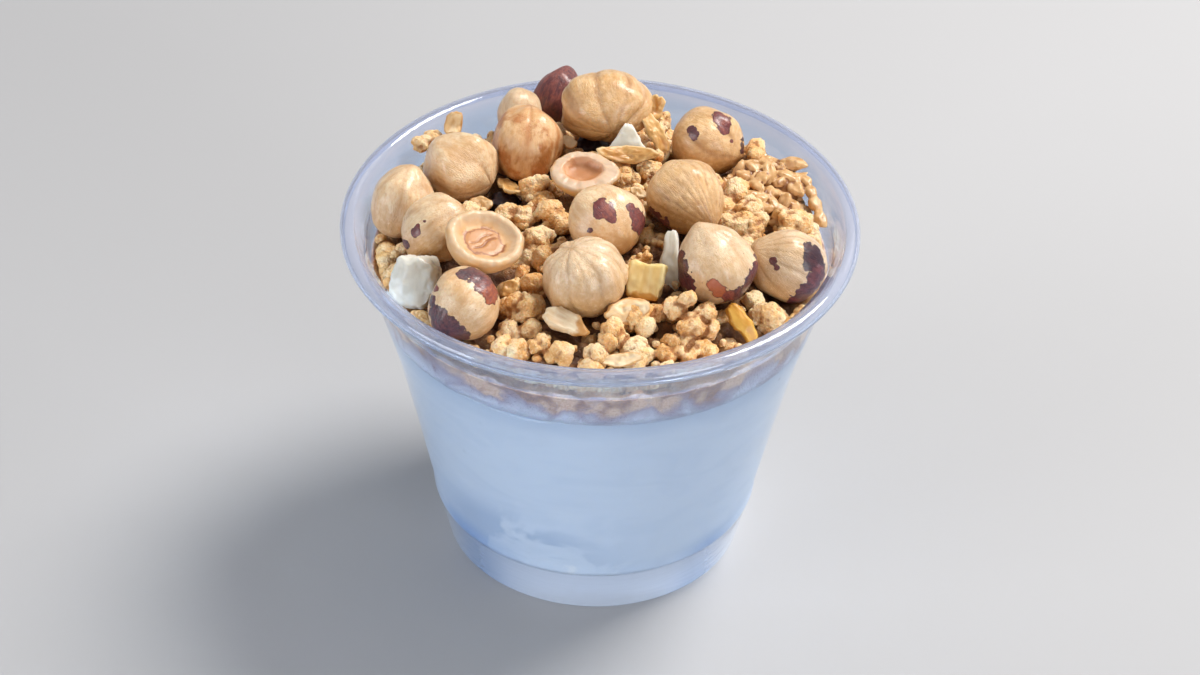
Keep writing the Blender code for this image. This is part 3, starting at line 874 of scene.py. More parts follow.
@dataclass(frozen=True)
class Flesh(Finish):
    """Cut fruit, coconut, raisin or oat: fibres along the piece, brown parts, and light through it; on
    puffed grains the brown is partly painted shade.
    """

    light: Colour
    dark: Colour
    brown_and_shade: Colour
    through: float = 0.4
    rough: float = 0.42
    relief: float = 0.00012

    cloud_scale = 420
    cloud_share = 0.7
    glow_reach = (0.003, 0.0026, 0.002)

    def dress(self, graph: Graph) -> None:
        """Fibres and browning.

        Args:
            graph: The node tree to fill.
        """
        fibres = graph.noise(graph.vector("grain"), 1.0, 4, 0.2)
        clouds = graph.noise(graph.here(), self.cloud_scale, 4)
        base = graph.mix(graph.remap(fibres, 0.35, 0.7), self.light, self.dark)
        brown = graph.sum("ADD", graph.value("brown"), graph.remap(clouds, 0.3, 0.7, -0.25, 0.25))
        # brown parts: browning, and on puffed grains painted shade as well
        base = graph.mix(graph.remap(brown, 0.35, 0.75), base, self.brown_and_shade)
        rough = graph.remap(clouds, 0.3, 0.7, self.rough - 0.08, self.rough + 0.1)
        relief = graph.bump(fibres, self.relief, graph.bump(clouds, self.cloud_share * self.relief))
        look = {"Base Color": base, "Roughness": rough, "Normal": relief}
        graph.surface(look, self.through, self.glow_reach)


@dataclass(frozen=True)
class PlainFloor(Finish):
    """The pale floor."""

    colour: Colour
    grain_scale: float = 40
    fainter: float = 0.99
    roughness: float = 0.9

    def dress(self, graph: Graph) -> None:
        """One matt colour with the faintest grain.

        Args:
            graph: The node tree to fill.
        """
        grain = graph.noise(graph.here(), self.grain_scale, 2)
        near = tuple(self.fainter * part for part in self.colour)
        graph.surface({"Base Color": graph.mix(grain, self.colour, near), "Roughness": self.roughness})


class Tone(Enum):
    """How a kernel is coloured."""

    CREAM = Peeled(
        "cream kernel",
        (0.94, 0.73, 0.48), (0.86, 0.59, 0.33), (0.54, 0.26, 0.09), (0.64, 0.33, 0.11),
    )
    PALE = Peeled(
        "pale kernel",
        (0.88, 0.68, 0.46), (0.80, 0.56, 0.33), (0.52, 0.29, 0.13), (0.64, 0.37, 0.15),
        mottle=0.22,
    )
    TAN = Peeled(
        "tan kernel",
        (0.87, 0.60, 0.33), (0.76, 0.46, 0.20), (0.40, 0.18, 0.06), (0.54, 0.27, 0.08),
        mottle=0.3,
    )
    TOASTED = Peeled(
        "toasted kernel",
        (0.90, 0.62, 0.36), (0.82, 0.50, 0.24), (0.52, 0.19, 0.045), (0.68, 0.32, 0.08),
        mottle=0.95,
        mottle_from=0.45,
        mottle_to=0.62,
    )
    SKINNED = Peeled(
        "kernel in its skin",
        (0.36, 0.10, 0.07), (0.14, 0.035, 0.04), (0.05, 0.015, 0.03), (0.08, 0.02, 0.03),
    )


PLASTIC = ClearPlastic(
    "clear plastic",
    tint=(0.62, 0.75, 0.95),
    lip_tint=(0.70, 0.73, 0.86),
    foot_tint=(0.78, 0.86, 0.99),
    foot_shade_tint=(0.40, 0.56, 0.82),
    lamp_tint=(0.95, 0.97, 0.99),
)
YOGURT = Yogurt(
    "white yogurt",
    white=(0.66, 0.70, 0.74),
    dull=(0.45, 0.52, 0.62),
    thick=(0.92, 0.87, 0.79),
    blue=(0.24, 0.36, 0.56),
    speck=(0.31, 0.32, 0.37),
)
GRANOLA = Baked(
    "baked granola",
    hollow=(0.10, 0.032, 0.008),
    burnt_and_shade=(0.38, 0.14, 0.032),
    honey=(0.74, 0.36, 0.10),
    sand=(0.90, 0.55, 0.24),
    pale=(0.96, 0.73, 0.44),
    pressed=(0.80, 0.58, 0.45),
    between=(0.34, 0.21, 0.19),
    mauve=(0.40, 0.35, 0.44),
    smear=(0.66, 0.68, 0.75),
)
PUFFED = Flesh("puffed grain", (0.72, 0.45, 0.22), (0.50, 0.27, 0.10), (0.26, 0.10, 0.025), 0.25, 0.32)
OAT = Flesh("oat flake", (0.88, 0.66, 0.41), (0.76, 0.49, 0.24), (0.62, 0.31, 0.10), 0.2, 0.5)
TOASTED_FLAKE = Flesh("toasted flake", (0.70, 0.41, 0.15), (0.54, 0.25, 0.06), (0.78, 0.52, 0.25), 0.2, 0.4)
CUT_KERNEL = CutKernel(
    "halved kernel",
    rim=(0.69, 0.49, 0.30),
    halo=(0.70, 0.40, 0.18),
    seed=(0.55, 0.26, 0.10),
    line=(0.30, 0.10, 0.035),
    underside=(0.66, 0.40, 0.18),
)
HOLLOW_KERNEL = CutKernel(
    "hollow kernel",
    rim=(0.66, 0.48, 0.33),
    halo=(0.74, 0.44, 0.26),
    seed=(0.50, 0.22, 0.09),
    line=(0.60, 0.30, 0.15),
    underside=(0.64, 0.38, 0.14),
)
COCONUT = Flesh(
    "coconut flesh", (0.78, 0.75, 0.66), (0.71, 0.69, 0.60), (0.50, 0.26, 0.09), 0.45, relief=0.00003
)
TOASTED_COCONUT = Flesh("toasted coconut", (0.82, 0.68, 0.48), (0.68, 0.46, 0.25), (0.52, 0.26, 0.08), 0.4)
YELLOW_FRUIT = Flesh(
    "yellow fruit", (0.89, 0.70, 0.34), (0.84, 0.60, 0.23), (0.60, 0.30, 0.06), 0.35, relief=0.00005
)
ORANGE_FRUIT = Flesh("orange fruit", (0.66, 0.36, 0.06), (0.58, 0.26, 0.03), (0.46, 0.18, 0.02), 0.35)
RAISIN = Flesh(
    "dark dried fruit", (0.035, 0.018, 0.022), (0.012, 0.006, 0.01), (0.05, 0.02, 0.02), 0.0, 0.34
)
FLOOR = PlainFloor("pale floor", (0.47, 0.47, 0.48))


# --- the camera --------------------------------------------------


@dataclass(frozen=True)
class View:
    """The photograph's viewpoint: where the camera stands and how it is turned."""

    place: Place = (0.0, -0.42538, 0.37249)
    pitch: float = 0.6596
    yaw: float = 0.0011
    roll: float = 0.0252
    lens: float = 85.71
    sensor: float = 36.0
    nearest: float = 0.01

    def axes(self) -> Array:
        """The camera's own axes.

        Returns:
            The directions to its right, up and back from what it looks at, as rows.
        """
        ahead = np.array(
            (
                math.sin(self.yaw) * math.cos(self.pitch),
                math.cos(self.yaw) * math.cos(self.pitch),
                -math.sin(self.pitch),
            )
        )
        level = unit(np.cross(ahead, (0, 0, 1)))
        above = np.cross(level, ahead)
        right = math.cos(self.roll) * level + math.sin(self.roll) * above
        up = math.cos(self.roll) * above - math.sin(self.roll) * level
        return np.stack((right, up, -ahead))

    def make(self) -> None:
        """Make the camera and look through it."""
        data = bpy.data.cameras.new("camera")
        data.lens = self.lens
        data.sensor_width = self.sensor
        data.clip_start = self.nearest
        made = bpy.data.objects.new("camera", data)
        made.matrix_world = Matrix.Translation(self.place) @ Matrix(self.axes().T.tolist()).to_4x4()
        bpy.context.scene.collection.objects.link(made)
        bpy.context.scene.camera = made


VIEW = View()


# --- the cup and yogurt ------------------------------------------


@dataclass(frozen=True)
class Wedge:
    """A place round the cup where dark blue shade is painted on its foot: the middle, the spread and how
    dark.
    """

    middle: float
    spread: float
    share: float


WEDGES = (
    Wedge(math.radians(-140), math.radians(17), 1.0),
    Wedge(math.radians(-45), math.radians(13), 0.7),
)


def wedges(angle: Array) -> Array:
    """How far each direction lies in one of the places of painted dark blue shade.

    Args:
        angle: Directions round the cup, in radians.

    Returns:
        One share from 0 to 1 a direction.
    """
    shares = [one.share * bell(angle - one.middle, one.spread) for one in WEDGES]
    return np.clip(sum(shares), 0, 1)


@dataclass
class Cup:
    """The clear cup: skirt foot, raised floor, tapered wall, stacking ledge and open rolled lip."""

    height: float = 0.0710
    wall: float = 0.0006
    foot_inner: float = 0.0274
    foot_outer: float = 0.0284
    floor_underside: float = 0.0098
    floor_top: float = 0.0104
    fillet: float = 0.0007
    stations: tuple[tuple[float, float], ...] = (
        (0.0005, 0.02874),
        (0.0100, 0.03080),
        (0.0106, 0.03118),
        (0.0114, 0.03130),
        (0.0120, 0.03110),
        (0.0300, 0.03482),
        (0.0450, 0.03810),
        (0.0560, 0.04115),
        (0.0608, 0.04190),
        (0.0619, 0.04260),
        (0.0660, 0.04320),
        (0.0686, 0.04365),
    )
    inner_from: float = 0.0300
    lip_radius: float = 0.04747
    lip_half_width: float = 0.00165
    lip_half_height: float = 0.0016
    lip_start: float = math.radians(150)
    lip_end: float = math.radians(-35)
    lip_steps: int = 18
    lip_foot: float = 0.0676
    clear: float = 0.90
    foot_haze: float = 0.44
    lip_haze: float = 0.02
    segments: int = 192

    def outer_radius(self, height: float | Array) -> float | Array:
        """Outside radius of the wall at a height."""
        heights, radii = zip(*self.stations)
        return np.interp(height, heights, radii)

    def inner_radius(self, height: float | Array) -> float | Array:
        """Inside radius of the wall at a height."""
        return self.outer_radius(height) - self.wall

    def lip(self, inset: float, start: float, end: float) -> list[tuple[float, float]]:
        """Points along the rolled lip.

        Args:
            inset: How far inside the lip's outside they lie.
            start: The angle of the first point.
            end: The angle of the last point.

        Returns:
            Pairs of radius and height.
        """
        points = []
        for angle in np.linspace(start, end, self.lip_steps + 1):
            wide, high = self.lip_half_width, self.lip_half_height
            radius = self.lip_radius - wide + (wide - inset) * math.cos(angle)
            points.append((radius, self.height - high + (high - inset) * math.sin(angle)))
        return points

    def profile(self) -> Array:
        """The section: under the floor, up the outside, round the lip and down the inside.

        Returns:
            Rows of radius and height.
        """
        skirt = self.outer_radius(self.floor_underside) - 2 * self.wall
        points = [(0, self.floor_underside), (skirt, self.floor_underside)]
        points += [(self.foot_inner, 0), (self.foot_outer, 0)]
        points += [(radius, height) for height, radius in self.stations]
        points += self.lip(self.wall, self.lip_start, self.lip_end)
        points += self.lip(0, self.lip_end, self.lip_start)
        points += [(radius - self.wall, height) for height, radius in reversed(self.stations)
                   if height >= self.inner_from]
        corner = self.floor_top + 2 * self.fillet
        points += [(self.inner_radius(corner), corner)]
        points += [(self.inner_radius(self.floor_top) - self.fillet, self.floor_top), (0, self.floor_top)]
        return np.array(points)

    def make(self) -> None:
        """Turn the section into the cup."""
        shell = revolved(self.profile(), self.segments)
        height = shell.points[:, 2]
        in_foot = smooth_step(height, self.floor_top, self.floor_underside)
        in_lip = smooth_step(height, self.lip_foot, self.height)
        angle = np.arctan2(shell.points[:, 1], shell.points[:, 0])
        shell.values = {
            "clear": self.clear - self.foot_haze * in_foot - self.lip_haze * in_lip,
            "in_lip": in_lip,
            "in_foot": in_foot,
            # painted shade: dark blue places on the foot
            "foot_shade": in_foot * wedges(angle),
        }
        shell.piece("clear_cup", PLASTIC, "cup", "clear_plastic")


@dataclass
class Filling:
    """The yogurt: it reaches just into the cup's wall, so that no air shows between them."""

    cup: Cup
    level: float = 0.0550
    into_wall: float = 0.0002
    rings: int = 60
    segments: int = 160
    waviness: float = 0.0007
    wavy_band: float = 0.006
    waves_round: float = 3
    blotch_angle: float = math.radians(-122)
    blotch_spread: float = math.radians(30)
    blotch_height: float = 0.0165
    blotch_reach: float = 0.0072
    blotch_depth: float = 1.4
    foot_blotch: float = 0.25
    foot_blotch_heights: tuple[float, float] = (0.016, 0.0105)
    wedge_top: float = 0.0160
    specked: float = 0.8
    specked_heights: tuple[float, float] = (0.03, 0.05)
    shaded: float = 0.6
    shaded_from: float = 0.049

    def make(self) -> None:
        """Turn the yogurt and mark where it is blotched, painted dark blue as shade at the foot, specked and
        shaded.
        """
        low = self.cup.floor_top - self.into_wall
        heights = np.linspace(low, self.level, self.rings)
        radii = self.cup.inner_radius(np.maximum(heights, self.cup.floor_top)) + self.into_wall
        profile = np.concatenate(([[0, low]], np.column_stack((radii, heights)), [[0, self.level]]))
        shell = revolved(profile, self.segments)
        x, y, z = shell.points.T
        angle = np.arctan2(y, x)
        near_top = smooth_step(z, self.level - self.wavy_band, self.level)
        ring = round_about(angle, self.waves_round, np.zeros(len(z)))
        shell.points[:, 2] += near_top * self.waviness * layered_noise(ring, 3, 5)
        side = bell(angle - self.blotch_angle, self.blotch_spread)
        low_down = bell(z - self.blotch_height, self.blotch_reach)
        at_foot = smooth_step(z, *self.foot_blotch_heights) * self.foot_blotch
        shell.values = {
            "blotch": np.clip(side * low_down * self.blotch_depth + at_foot, 0, 1),
            # painted shade: dark blue low in the yogurt at the same places
            "foot_shade": wedges(angle) * smooth_step(z, self.wedge_top, low),
            "speck": smooth_step(z, *self.specked_heights) * self.specked,
            # painted shade near the top
            "shaded": self.shaded * smooth_step(z, self.shaded_from, self.level),
        }
        shell.piece("yogurt_body", YOGURT, "yogurt", "yogurt")


# --- the toppings ------------------------------------------------


OWN_NOISE = 900.0
DARK_HUE = 0.4


@dataclass
class Kernel:
    """A whole kernel: its middle, half sizes, where its tip points, its ribs, folds, tone and skin.

    A spot of skin is where it lies as seen from the front, to the right and up in shares of the kernel's
    radius, then its reach in the same shares and its hue from dark to rust.
    """

    name: str
    centre: Place
    across: float
    along: float
    tip_points: Place
    tip: float = 0.07
    ribs: int = 6
    rib_depth: float = 0.03
    flat: float = 1.0
    tone: Tone = Tone.CREAM
    nub: float = 0.0
    folds: int = 9
    fold_depth: float = 0.012
    fold_reach: float = 2.9
    angular: float = 0.35
    shaded: float = 0.85
    spots: tuple[tuple[float, float, float, float], ...] = ()

    rings = 56
    segments = 96
    fit = 0.992
    room = 1.03
    base = 0.05
    base_width = 0.6
    tip_width = 0.42
    nub_width = 0.17
    rib_mean = 0.6
    rib_fade = 0.8
    uneven = 0.06
    uneven_scale = 1.4
    uneven_spread = 700.0
    wrinkles = 0.009
    wrinkles_round = 7
    dimples = 0.012
    dimple_scale = 2.6
    fold_width = 0.38
    fold_fade = 0.6
    fold_end = 1.4
    fold_sway = 0.14
    fold_wander = 0.09
    full_fold = 0.028
    skin_height = 0.00006
    skin_spread = 1.35
    # the direction of the painted light: the side of a kernel facing away from it gets painted shade
    painted_light_from = (0.0, 0.45, 0.9)
    facets = 18
    facet_power = 12
    facet_jitter = 0.25
    facet_uneven = 0.03

    def balls(self) -> list[Ball]:
        """The ball that granola keeps clear of."""
        return [(self.centre, self.room * max(self.across, self.along))]

    def creases(self, polar: Array, azimuth: Array) -> Array:
        """How deep in the creases between its folds each point lies.

        Args:
            polar: Angles from the tip.
            azimuth: Angles round the axis.

        Returns:
            0 on the folds, up to 1 in between.
        """
        offset = np.array(self.centre) * self.uneven_spread
        ring = round_about(azimuth, 1, polar * 0.8) * 1.3 + offset
        sway = self.fold_sway * np.sin(azimuth + offset[0])
        phase = self.folds * (azimuth / 2 + sway + self.fold_wander * lattice_noise(ring, 21))
        valley = bell(np.cos(phase), self.fold_width)
        ends = smooth_step(polar, self.fold_reach, self.fold_reach - self.fold_end)
        fade = np.sin(polar) ** self.fold_fade * ends
        return valley * (0.6 + 0.4 * lattice_noise(ring * 1.9, 22)) * fade

    def flats(self, directions: Array) -> Array:
        """How far soft flat sides pull the surface in or let it out, about 1 on average.

        Args:
            directions: Unit vectors, the tip being at +Z.

        Returns:
            One factor a direction.
        """
        seed = self.centre[0] * self.uneven_spread
        sides = scattered(self.facets, seed, seed, self.facet_jitter)
        away = 1 + self.facet_uneven * np.sin(np.arange(self.facets) * 2.3 + seed)
        reach = np.clip(directions @ sides.T, 0, None) / away
        radius = (reach**self.facet_power).sum(axis=1) ** (-1 / self.facet_power)
        return 1 + self.angular * (radius / radius.mean() - 1)

    def scale(self, directions: Array, polar: Array, azimuth: Array) -> Array:
        """How far the surface lies from a plain ellipsoid, before its creases.

        Args:
            directions: Unit vectors, the tip being at +Z.
            polar: Their angles from the tip.
            azimuth: Their angles round the axis.

        Returns:
            One factor a direction.
        """
        ribs = np.abs(np.cos(self.ribs * azimuth / 2)) - self.rib_mean
        ribbed = 1 + self.rib_depth * ribs * np.sin(polar) ** self.rib_fade
        tip = self.tip * bell(polar, self.tip_width) + self.nub * bell(polar, self.nub_width)
        base = self.base * bell(math.pi - polar, self.base_width)
        offset = np.array(self.centre) * self.uneven_spread
        uneven = self.uneven * steady_noise(directions * self.uneven_scale + offset)
        around = round_about(azimuth, self.wrinkles_round, polar * 1.1) + offset
        wrinkles = self.wrinkles * layered_noise(around, 3) * np.sin(polar)
        dimples = self.dimples * layered_noise(directions * self.dimple_scale + offset, 3, 9)
        return (ribbed + tip - base + uneven + wrinkles + dimples) * self.flats(directions) * self.fit

    def skin(self, normals: Array) -> tuple[Array, Array]:
        """Where skin is left, and its hue.

        Args:
            normals: Directions from the kernel's middle.

        Returns:
            How far inside a spot each point is, at most 1, and the hue there.
        """
        depth = np.full(len(normals), -1.0)
        hue = np.full(len(normals), DARK_HUE)
        seen = normals @ VIEW.axes().T
        for right, up, reach, spot_hue in self.spots:
            spot = np.array((right, up, math.sqrt(max(0.01, 1 - right**2 - up**2))))
            away = np.linalg.norm((seen - spot) * (1, 1, 0.4), axis=1)
            inside = 1 - away / (self.skin_spread * reach)
            hue = np.where(inside > depth, spot_hue, hue)
            depth = np.maximum(depth, inside)
        return depth, hue

    def make(self) -> None:
        """Shape the kernel, mark its creases, skin and streaks, and where shade is painted on its lower
        side.
        """
        shell = ball(self.rings, self.segments)
        directions = shell.points
        polar = np.arccos(np.clip(directions[:, 2], -1, 1))
        azimuth = np.arctan2(directions[:, 1], directions[:, 0])
        half_sizes = np.array((self.across, self.across * self.flat, self.along))
        creases = self.creases(polar, azimuth)
        scale = self.scale(directions, polar, azimuth) - self.fold_depth * creases
        turn = turn_to(self.tip_points)
        normals = unit((directions * half_sizes) @ turn.T)
        depth, hue = self.skin(normals)
        lift = self.skin_height * smooth_step(depth, -0.05, 0.15)
        points = directions * half_sizes * scale[:, None] + directions * lift[:, None]
        grain = round_about(azimuth, np.sin(polar) * 4, polar * 0.9)
        # painted shade on the side facing away from the painted light's direction
        low = -normals @ unit(np.array(self.painted_light_from))
        shell = Shell(points, shell.faces, {
            "grain": grain + np.array(self.centre) * self.uneven_spread,
            "pole": 0.7 * bell(polar, 0.16) + 0.5 * bell(math.pi - polar, 0.45),
            # painted shade in the creases
            "crease": creases * min(1.0, self.fold_depth / self.full_fold),
            "under": self.shaded * smooth_step(low, -0.35, 0.75),
            "skin": depth,
            "hue": hue,
        })
        slot = "skin_on_hazelnut" if self.tone is Tone.SKINNED else "hazelnut"
        shell.moved(turn, self.centre).piece(self.name + "_kernel", self.tone.value, self.name, slot)


@dataclass
class HalfKernel:
    """Half a kernel, cut face up: where it faces, its depth, its hollow, its seed and the rim's flake."""

    name: str
    centre: Place
    across: float
    along: float
    faces: Place
    tip_points: Place
    depth: float
    tip: float
    seed_height: float
    finish: CutKernel = CUT_KERNEL
    hollow_reach: float = 0.66
    hollow_depth: float = 0.28
    hollow_shift: tuple[float, float] = (0.0, 0.0)
    ledge_angle: float | None = None

    segments = 96
    steps = 22
    rim_steps = 9
    room = 1.02
    room_depth = 0.35
    seed_reach = 0.47
    ledge_height = 0.0004
    ledge_length = 1.3
    rim_reach = 0.93
    rim_swell = 0.015
    edge_drop = 0.08
    tip_width = 0.45
    fit = 0.985
    uneven = 0.022
    flaky = 0.0002
    sunk = 0.00006
    crack_depth = 0.00022
    cracks = ((0.06, 0.04, 7, 0.035, 1.0), (-0.12, 0.03, 9, 0.03, 0.7))

    def balls(self) -> list[Ball]:
        """The ball that granola keeps clear of."""
        middle = np.array(self.centre) - unit(np.array(self.faces)) * self.depth * self.room_depth
        return [(tuple(middle), max(self.across, self.along) * self.room)]

    def profile(self) -> tuple[Array, Array]:
        """The section from the underside over the rim to the hollow's middle.

        Returns:
            Rows of radius and height, in shares of the half sizes and in metres, and how far out each row
            is: below 1 on the cut face, 1 at its edge and up to 2 under it.
        """
        hollow = np.linspace(0, self.hollow_reach, self.steps)
        bowl = -self.hollow_depth * self.depth * (1 - (hollow / self.hollow_reach) ** 4)
        seed = self.seed_height * self.depth * np.exp(-((hollow / self.seed_reach) ** 10))
        rim = np.linspace(self.hollow_reach, self.rim_reach, self.rim_steps)[1:]
        over_rim = (rim - self.hollow_reach) / (self.rim_reach - self.hollow_reach)
        swell = self.rim_swell * self.depth * np.sin(over_rim * math.pi)
        angles = np.linspace(0.0, math.pi / 2, self.steps)
        drop = self.edge_drop + (1 - self.edge_drop) * np.sin(angles)
        reach = np.concatenate((hollow, rim, np.cos(angles)))
        height = np.concatenate((bowl + seed, swell, -self.depth * drop))
        out = np.concatenate((hollow, rim, 1 + angles / (math.pi / 2)))
        return np.column_stack((reach, height))[::-1], out[::-1]

    def make(self) -> None:
        """Turn the half kernel, make it uneven, and mark its parts."""
        profile, out = self.profile()
        profile[0, 0] = profile[-1, 0] = 0
        shell = revolved(profile, self.segments)
        reach = np.concatenate((np.repeat(out[1:-1], self.segments), (out[0], out[-1])))
        x, y, z = shell.points.T
        azimuth = np.arctan2(y, x)
        longer = 1 + self.tip * bell(azimuth, self.tip_width)
        around = round_about(azimuth, 3, reach * 1.5)
        offset = np.array(self.centre) * OWN_NOISE
        wide = self.fit + self.uneven * layered_noise(around + offset, 3)
        torn = layered_noise(around * 1.5 + offset, 4, 4)
        torn = torn * smooth_step(reach, 0.5, 0.8) * smooth_step(reach, 1.5, 1.0)
        points = np.column_stack((
            x * self.along * longer * wide,
            y * self.across * longer * wide,
            z + self.flaky * torn - self.sunk,
        ))
        points[:, :2] += np.array(self.hollow_shift) * smooth_step(reach, self.rim_reach, 0.3)[:, None]
        if self.ledge_angle is not None:
            past = (azimuth - self.ledge_angle) % math.tau
            flake = np.where(past < self.ledge_length, 1 - past / self.ledge_length, 0)
            on_rim = smooth_step(reach, 0.6, 0.75) * smooth_step(reach, 1.25, 0.97)
            points[:, 2] += self.ledge_height * flake * on_rim
        diagonal = x * 0.5 - y * 0.86
        crack = np.zeros(len(x))
        for middle, wave, waves, width, share in self.cracks:
            crack += share * bell(diagonal - middle + wave * np.sin(waves * (x + y)), width)
        crack *= smooth_step(reach, 0.42, 0.3) * (self.seed_height > 0)
        points[:, 2] -= self.crack_depth * np.minimum(crack, 1)
        up = unit(np.array(self.faces))
        length = np.array(self.tip_points, float)
        length = unit(length - length @ up * up)
        turn = np.column_stack((length, np.cross(up, length), up))
        shell = Shell(points, shell.faces, {"reach": reach, "crack": np.clip(crack, 0, 1)})
        shell.moved(turn, self.centre).piece(self.name + "_kernel", self.finish, self.name, "hazelnut")


@dataclass
class CutPiece:
    """A cut piece of coconut or fruit: width, thickness and length, and where it points and faces."""

    name: str
    centre: Place
    size: tuple[float, float, float]
    points: Place
    faces: Place
    finish: Finish
    slot: str
    taper: float = 0.0
    bend: float = 0.0
    bevel: float = 0.0006
    uneven: float = 0.0003
    ridge: float = 0.0
    hollow: float = 0.0
    brown_end: float = 0.0
    ragged: float = 0.0
    rounded: float = 0.0

    cells = 22
    most_bevel = 0.48
    room = 0.62
    ragged_scale = 3.5
    side_turn = 6
    uneven_scale = 420
    ridge_place = 0.08
    ridge_slope = 3
    ridge_foot = -0.5
    fibres = (900, 900, 160)

    def balls(self) -> list[Ball]:
        """The balls that granola keeps clear of, along the longest side.

        Returns:
            Pairs of middle and radius.
        """
        axis = max(range(3), key=lambda i: self.size[i])
        thick = sorted(self.size)[1] * self.room
        reach = max(0.0, self.size[axis] / 2 - thick * 0.7)
        direction = axes_of(self.points, self.faces)[:, axis]
        shares = (-1, -0.5, 0, 0.5, 1)
        return [(tuple(np.array(self.centre) + direction * reach * share), thick) for share in shares]

    def make(self) -> None:
        """Round the block's edges, narrow and bend it, and roughen it."""
        shell = block(self.cells)
        size = np.array(self.size)
        bevel = min(self.bevel, self.most_bevel * size.min())
        points = shell.points * size
        inner = np.clip(points, -(size / 2 - bevel), size / 2 - bevel)
        out = points - inner
        points = inner + unit(out) * np.minimum(bevel, np.linalg.norm(out, axis=1))[:, None]
        share = points / size
        across, thick, length = share.T
        offset = np.array(self.centre) * OWN_NOISE
        level = np.zeros(len(share))
        sides = (np.tanh(across * self.side_turn), level, length * self.ragged_scale)
        ends = (across * self.ragged_scale, np.tanh(length * self.side_turn), level)
        for axis, along, side in ((0, length, sides), (2, across, ends)):
            frayed = self.ragged * np.abs(layered_noise(np.column_stack(side) + offset, 2))
            points[:, axis] *= 1 - self.rounded * (2 * along) ** 4 - frayed
        points[:, 0] *= 1 - self.taper * (length + 0.5)
        points[:, 1] += self.bend * (1 - (2 * length) ** 2)
        crest = np.clip(1 - self.ridge_slope * np.abs(across - self.ridge_place), self.ridge_foot, 1)
        points[:, 1] += self.ridge * crest * (thick > 0)
        points[:, 2] -= self.hollow * (1 - (2 * across) ** 2) * smooth_step(length, 0.1, 0.5)
        for axis in range(3):
            rough = layered_noise(points * self.uneven_scale + offset, 3, axis * 11)
            points[:, axis] += self.uneven * rough
        brown = np.zeros(len(points))
        if self.brown_end:
            brown = smooth_step(length * np.sign(self.brown_end), 0.5 - abs(self.brown_end), 0.5)
        values = {"grain": points * np.array(self.fibres) + offset, "brown": brown}
        shell = Shell(points, shell.faces, values).moved(axes_of(self.points, self.faces), self.centre)
        shell.piece(self.name + "_cut", self.finish, self.name, self.slot)


# --- the granola -------------------------------------------------


@dataclass
class Cluster:
    """Granola lumps stuck together round a middle."""

    centre: Place
    lump: float
    count: int = 1
    spread: float = 0.0


@dataclass
class Flake:
    """A thin wavy flake: its middle, length, width and thickness, where it points and faces, its curl."""

    centre: Place
    size: tuple[float, float, float]
    points: Place
    faces: Place
    curl: float = 0.0
    toasted: bool = False

    rings = 12
    segments = 48
    outline = 0.16
    outline_scale = 1.6
    wave = 0.00035
    wave_scale = 480
    crinkle = 0.0002
    crinkle_scale = 1500
    fibres = (900, 900, 300)

    def shell(self, index: int) -> Shell:
        """The flake as a shell.

        Args:
            index: Which flake, for its own outline.

        Returns:
            The shell, with the values that its finish reads.
        """
        length, width, thickness = self.size
        reach = np.linspace(0, 1, self.rings + 1)
        edge = np.sqrt(np.clip(1 - reach**6, 0, 1)) * 0.5
        profile = np.concatenate((np.column_stack((reach, -edge)), np.column_stack((reach, edge))[-2::-1]))
        shell = revolved(profile, self.segments)
        x, y, z = shell.points.T
        angle = np.arctan2(y, x)
        out = np.hypot(x, y)
        around = round_about(angle, self.outline_scale, np.full(len(x), index * 3.1))
        wide = 1 + self.outline * layered_noise(around, 3)
        x, y = x * wide * length / 2, y * wide * width / 2
        flat = np.column_stack((x, y, np.full(len(x), index * 0.01)))
        z = z * thickness + self.curl * (x / (length / 2)) ** 2
        z = z + self.wave * layered_noise(flat * self.wave_scale, 3, index)
        z = z + self.crinkle * lattice_noise(flat * self.crinkle_scale, index)
        points = np.column_stack((y, z, x))
        values = {"grain": points * np.array(self.fibres) + index * 5, "brown": smooth_step(out, 0.6, 1.1)}
        return Shell(points, shell.faces, values).moved(axes_of(self.points, self.faces), self.centre)


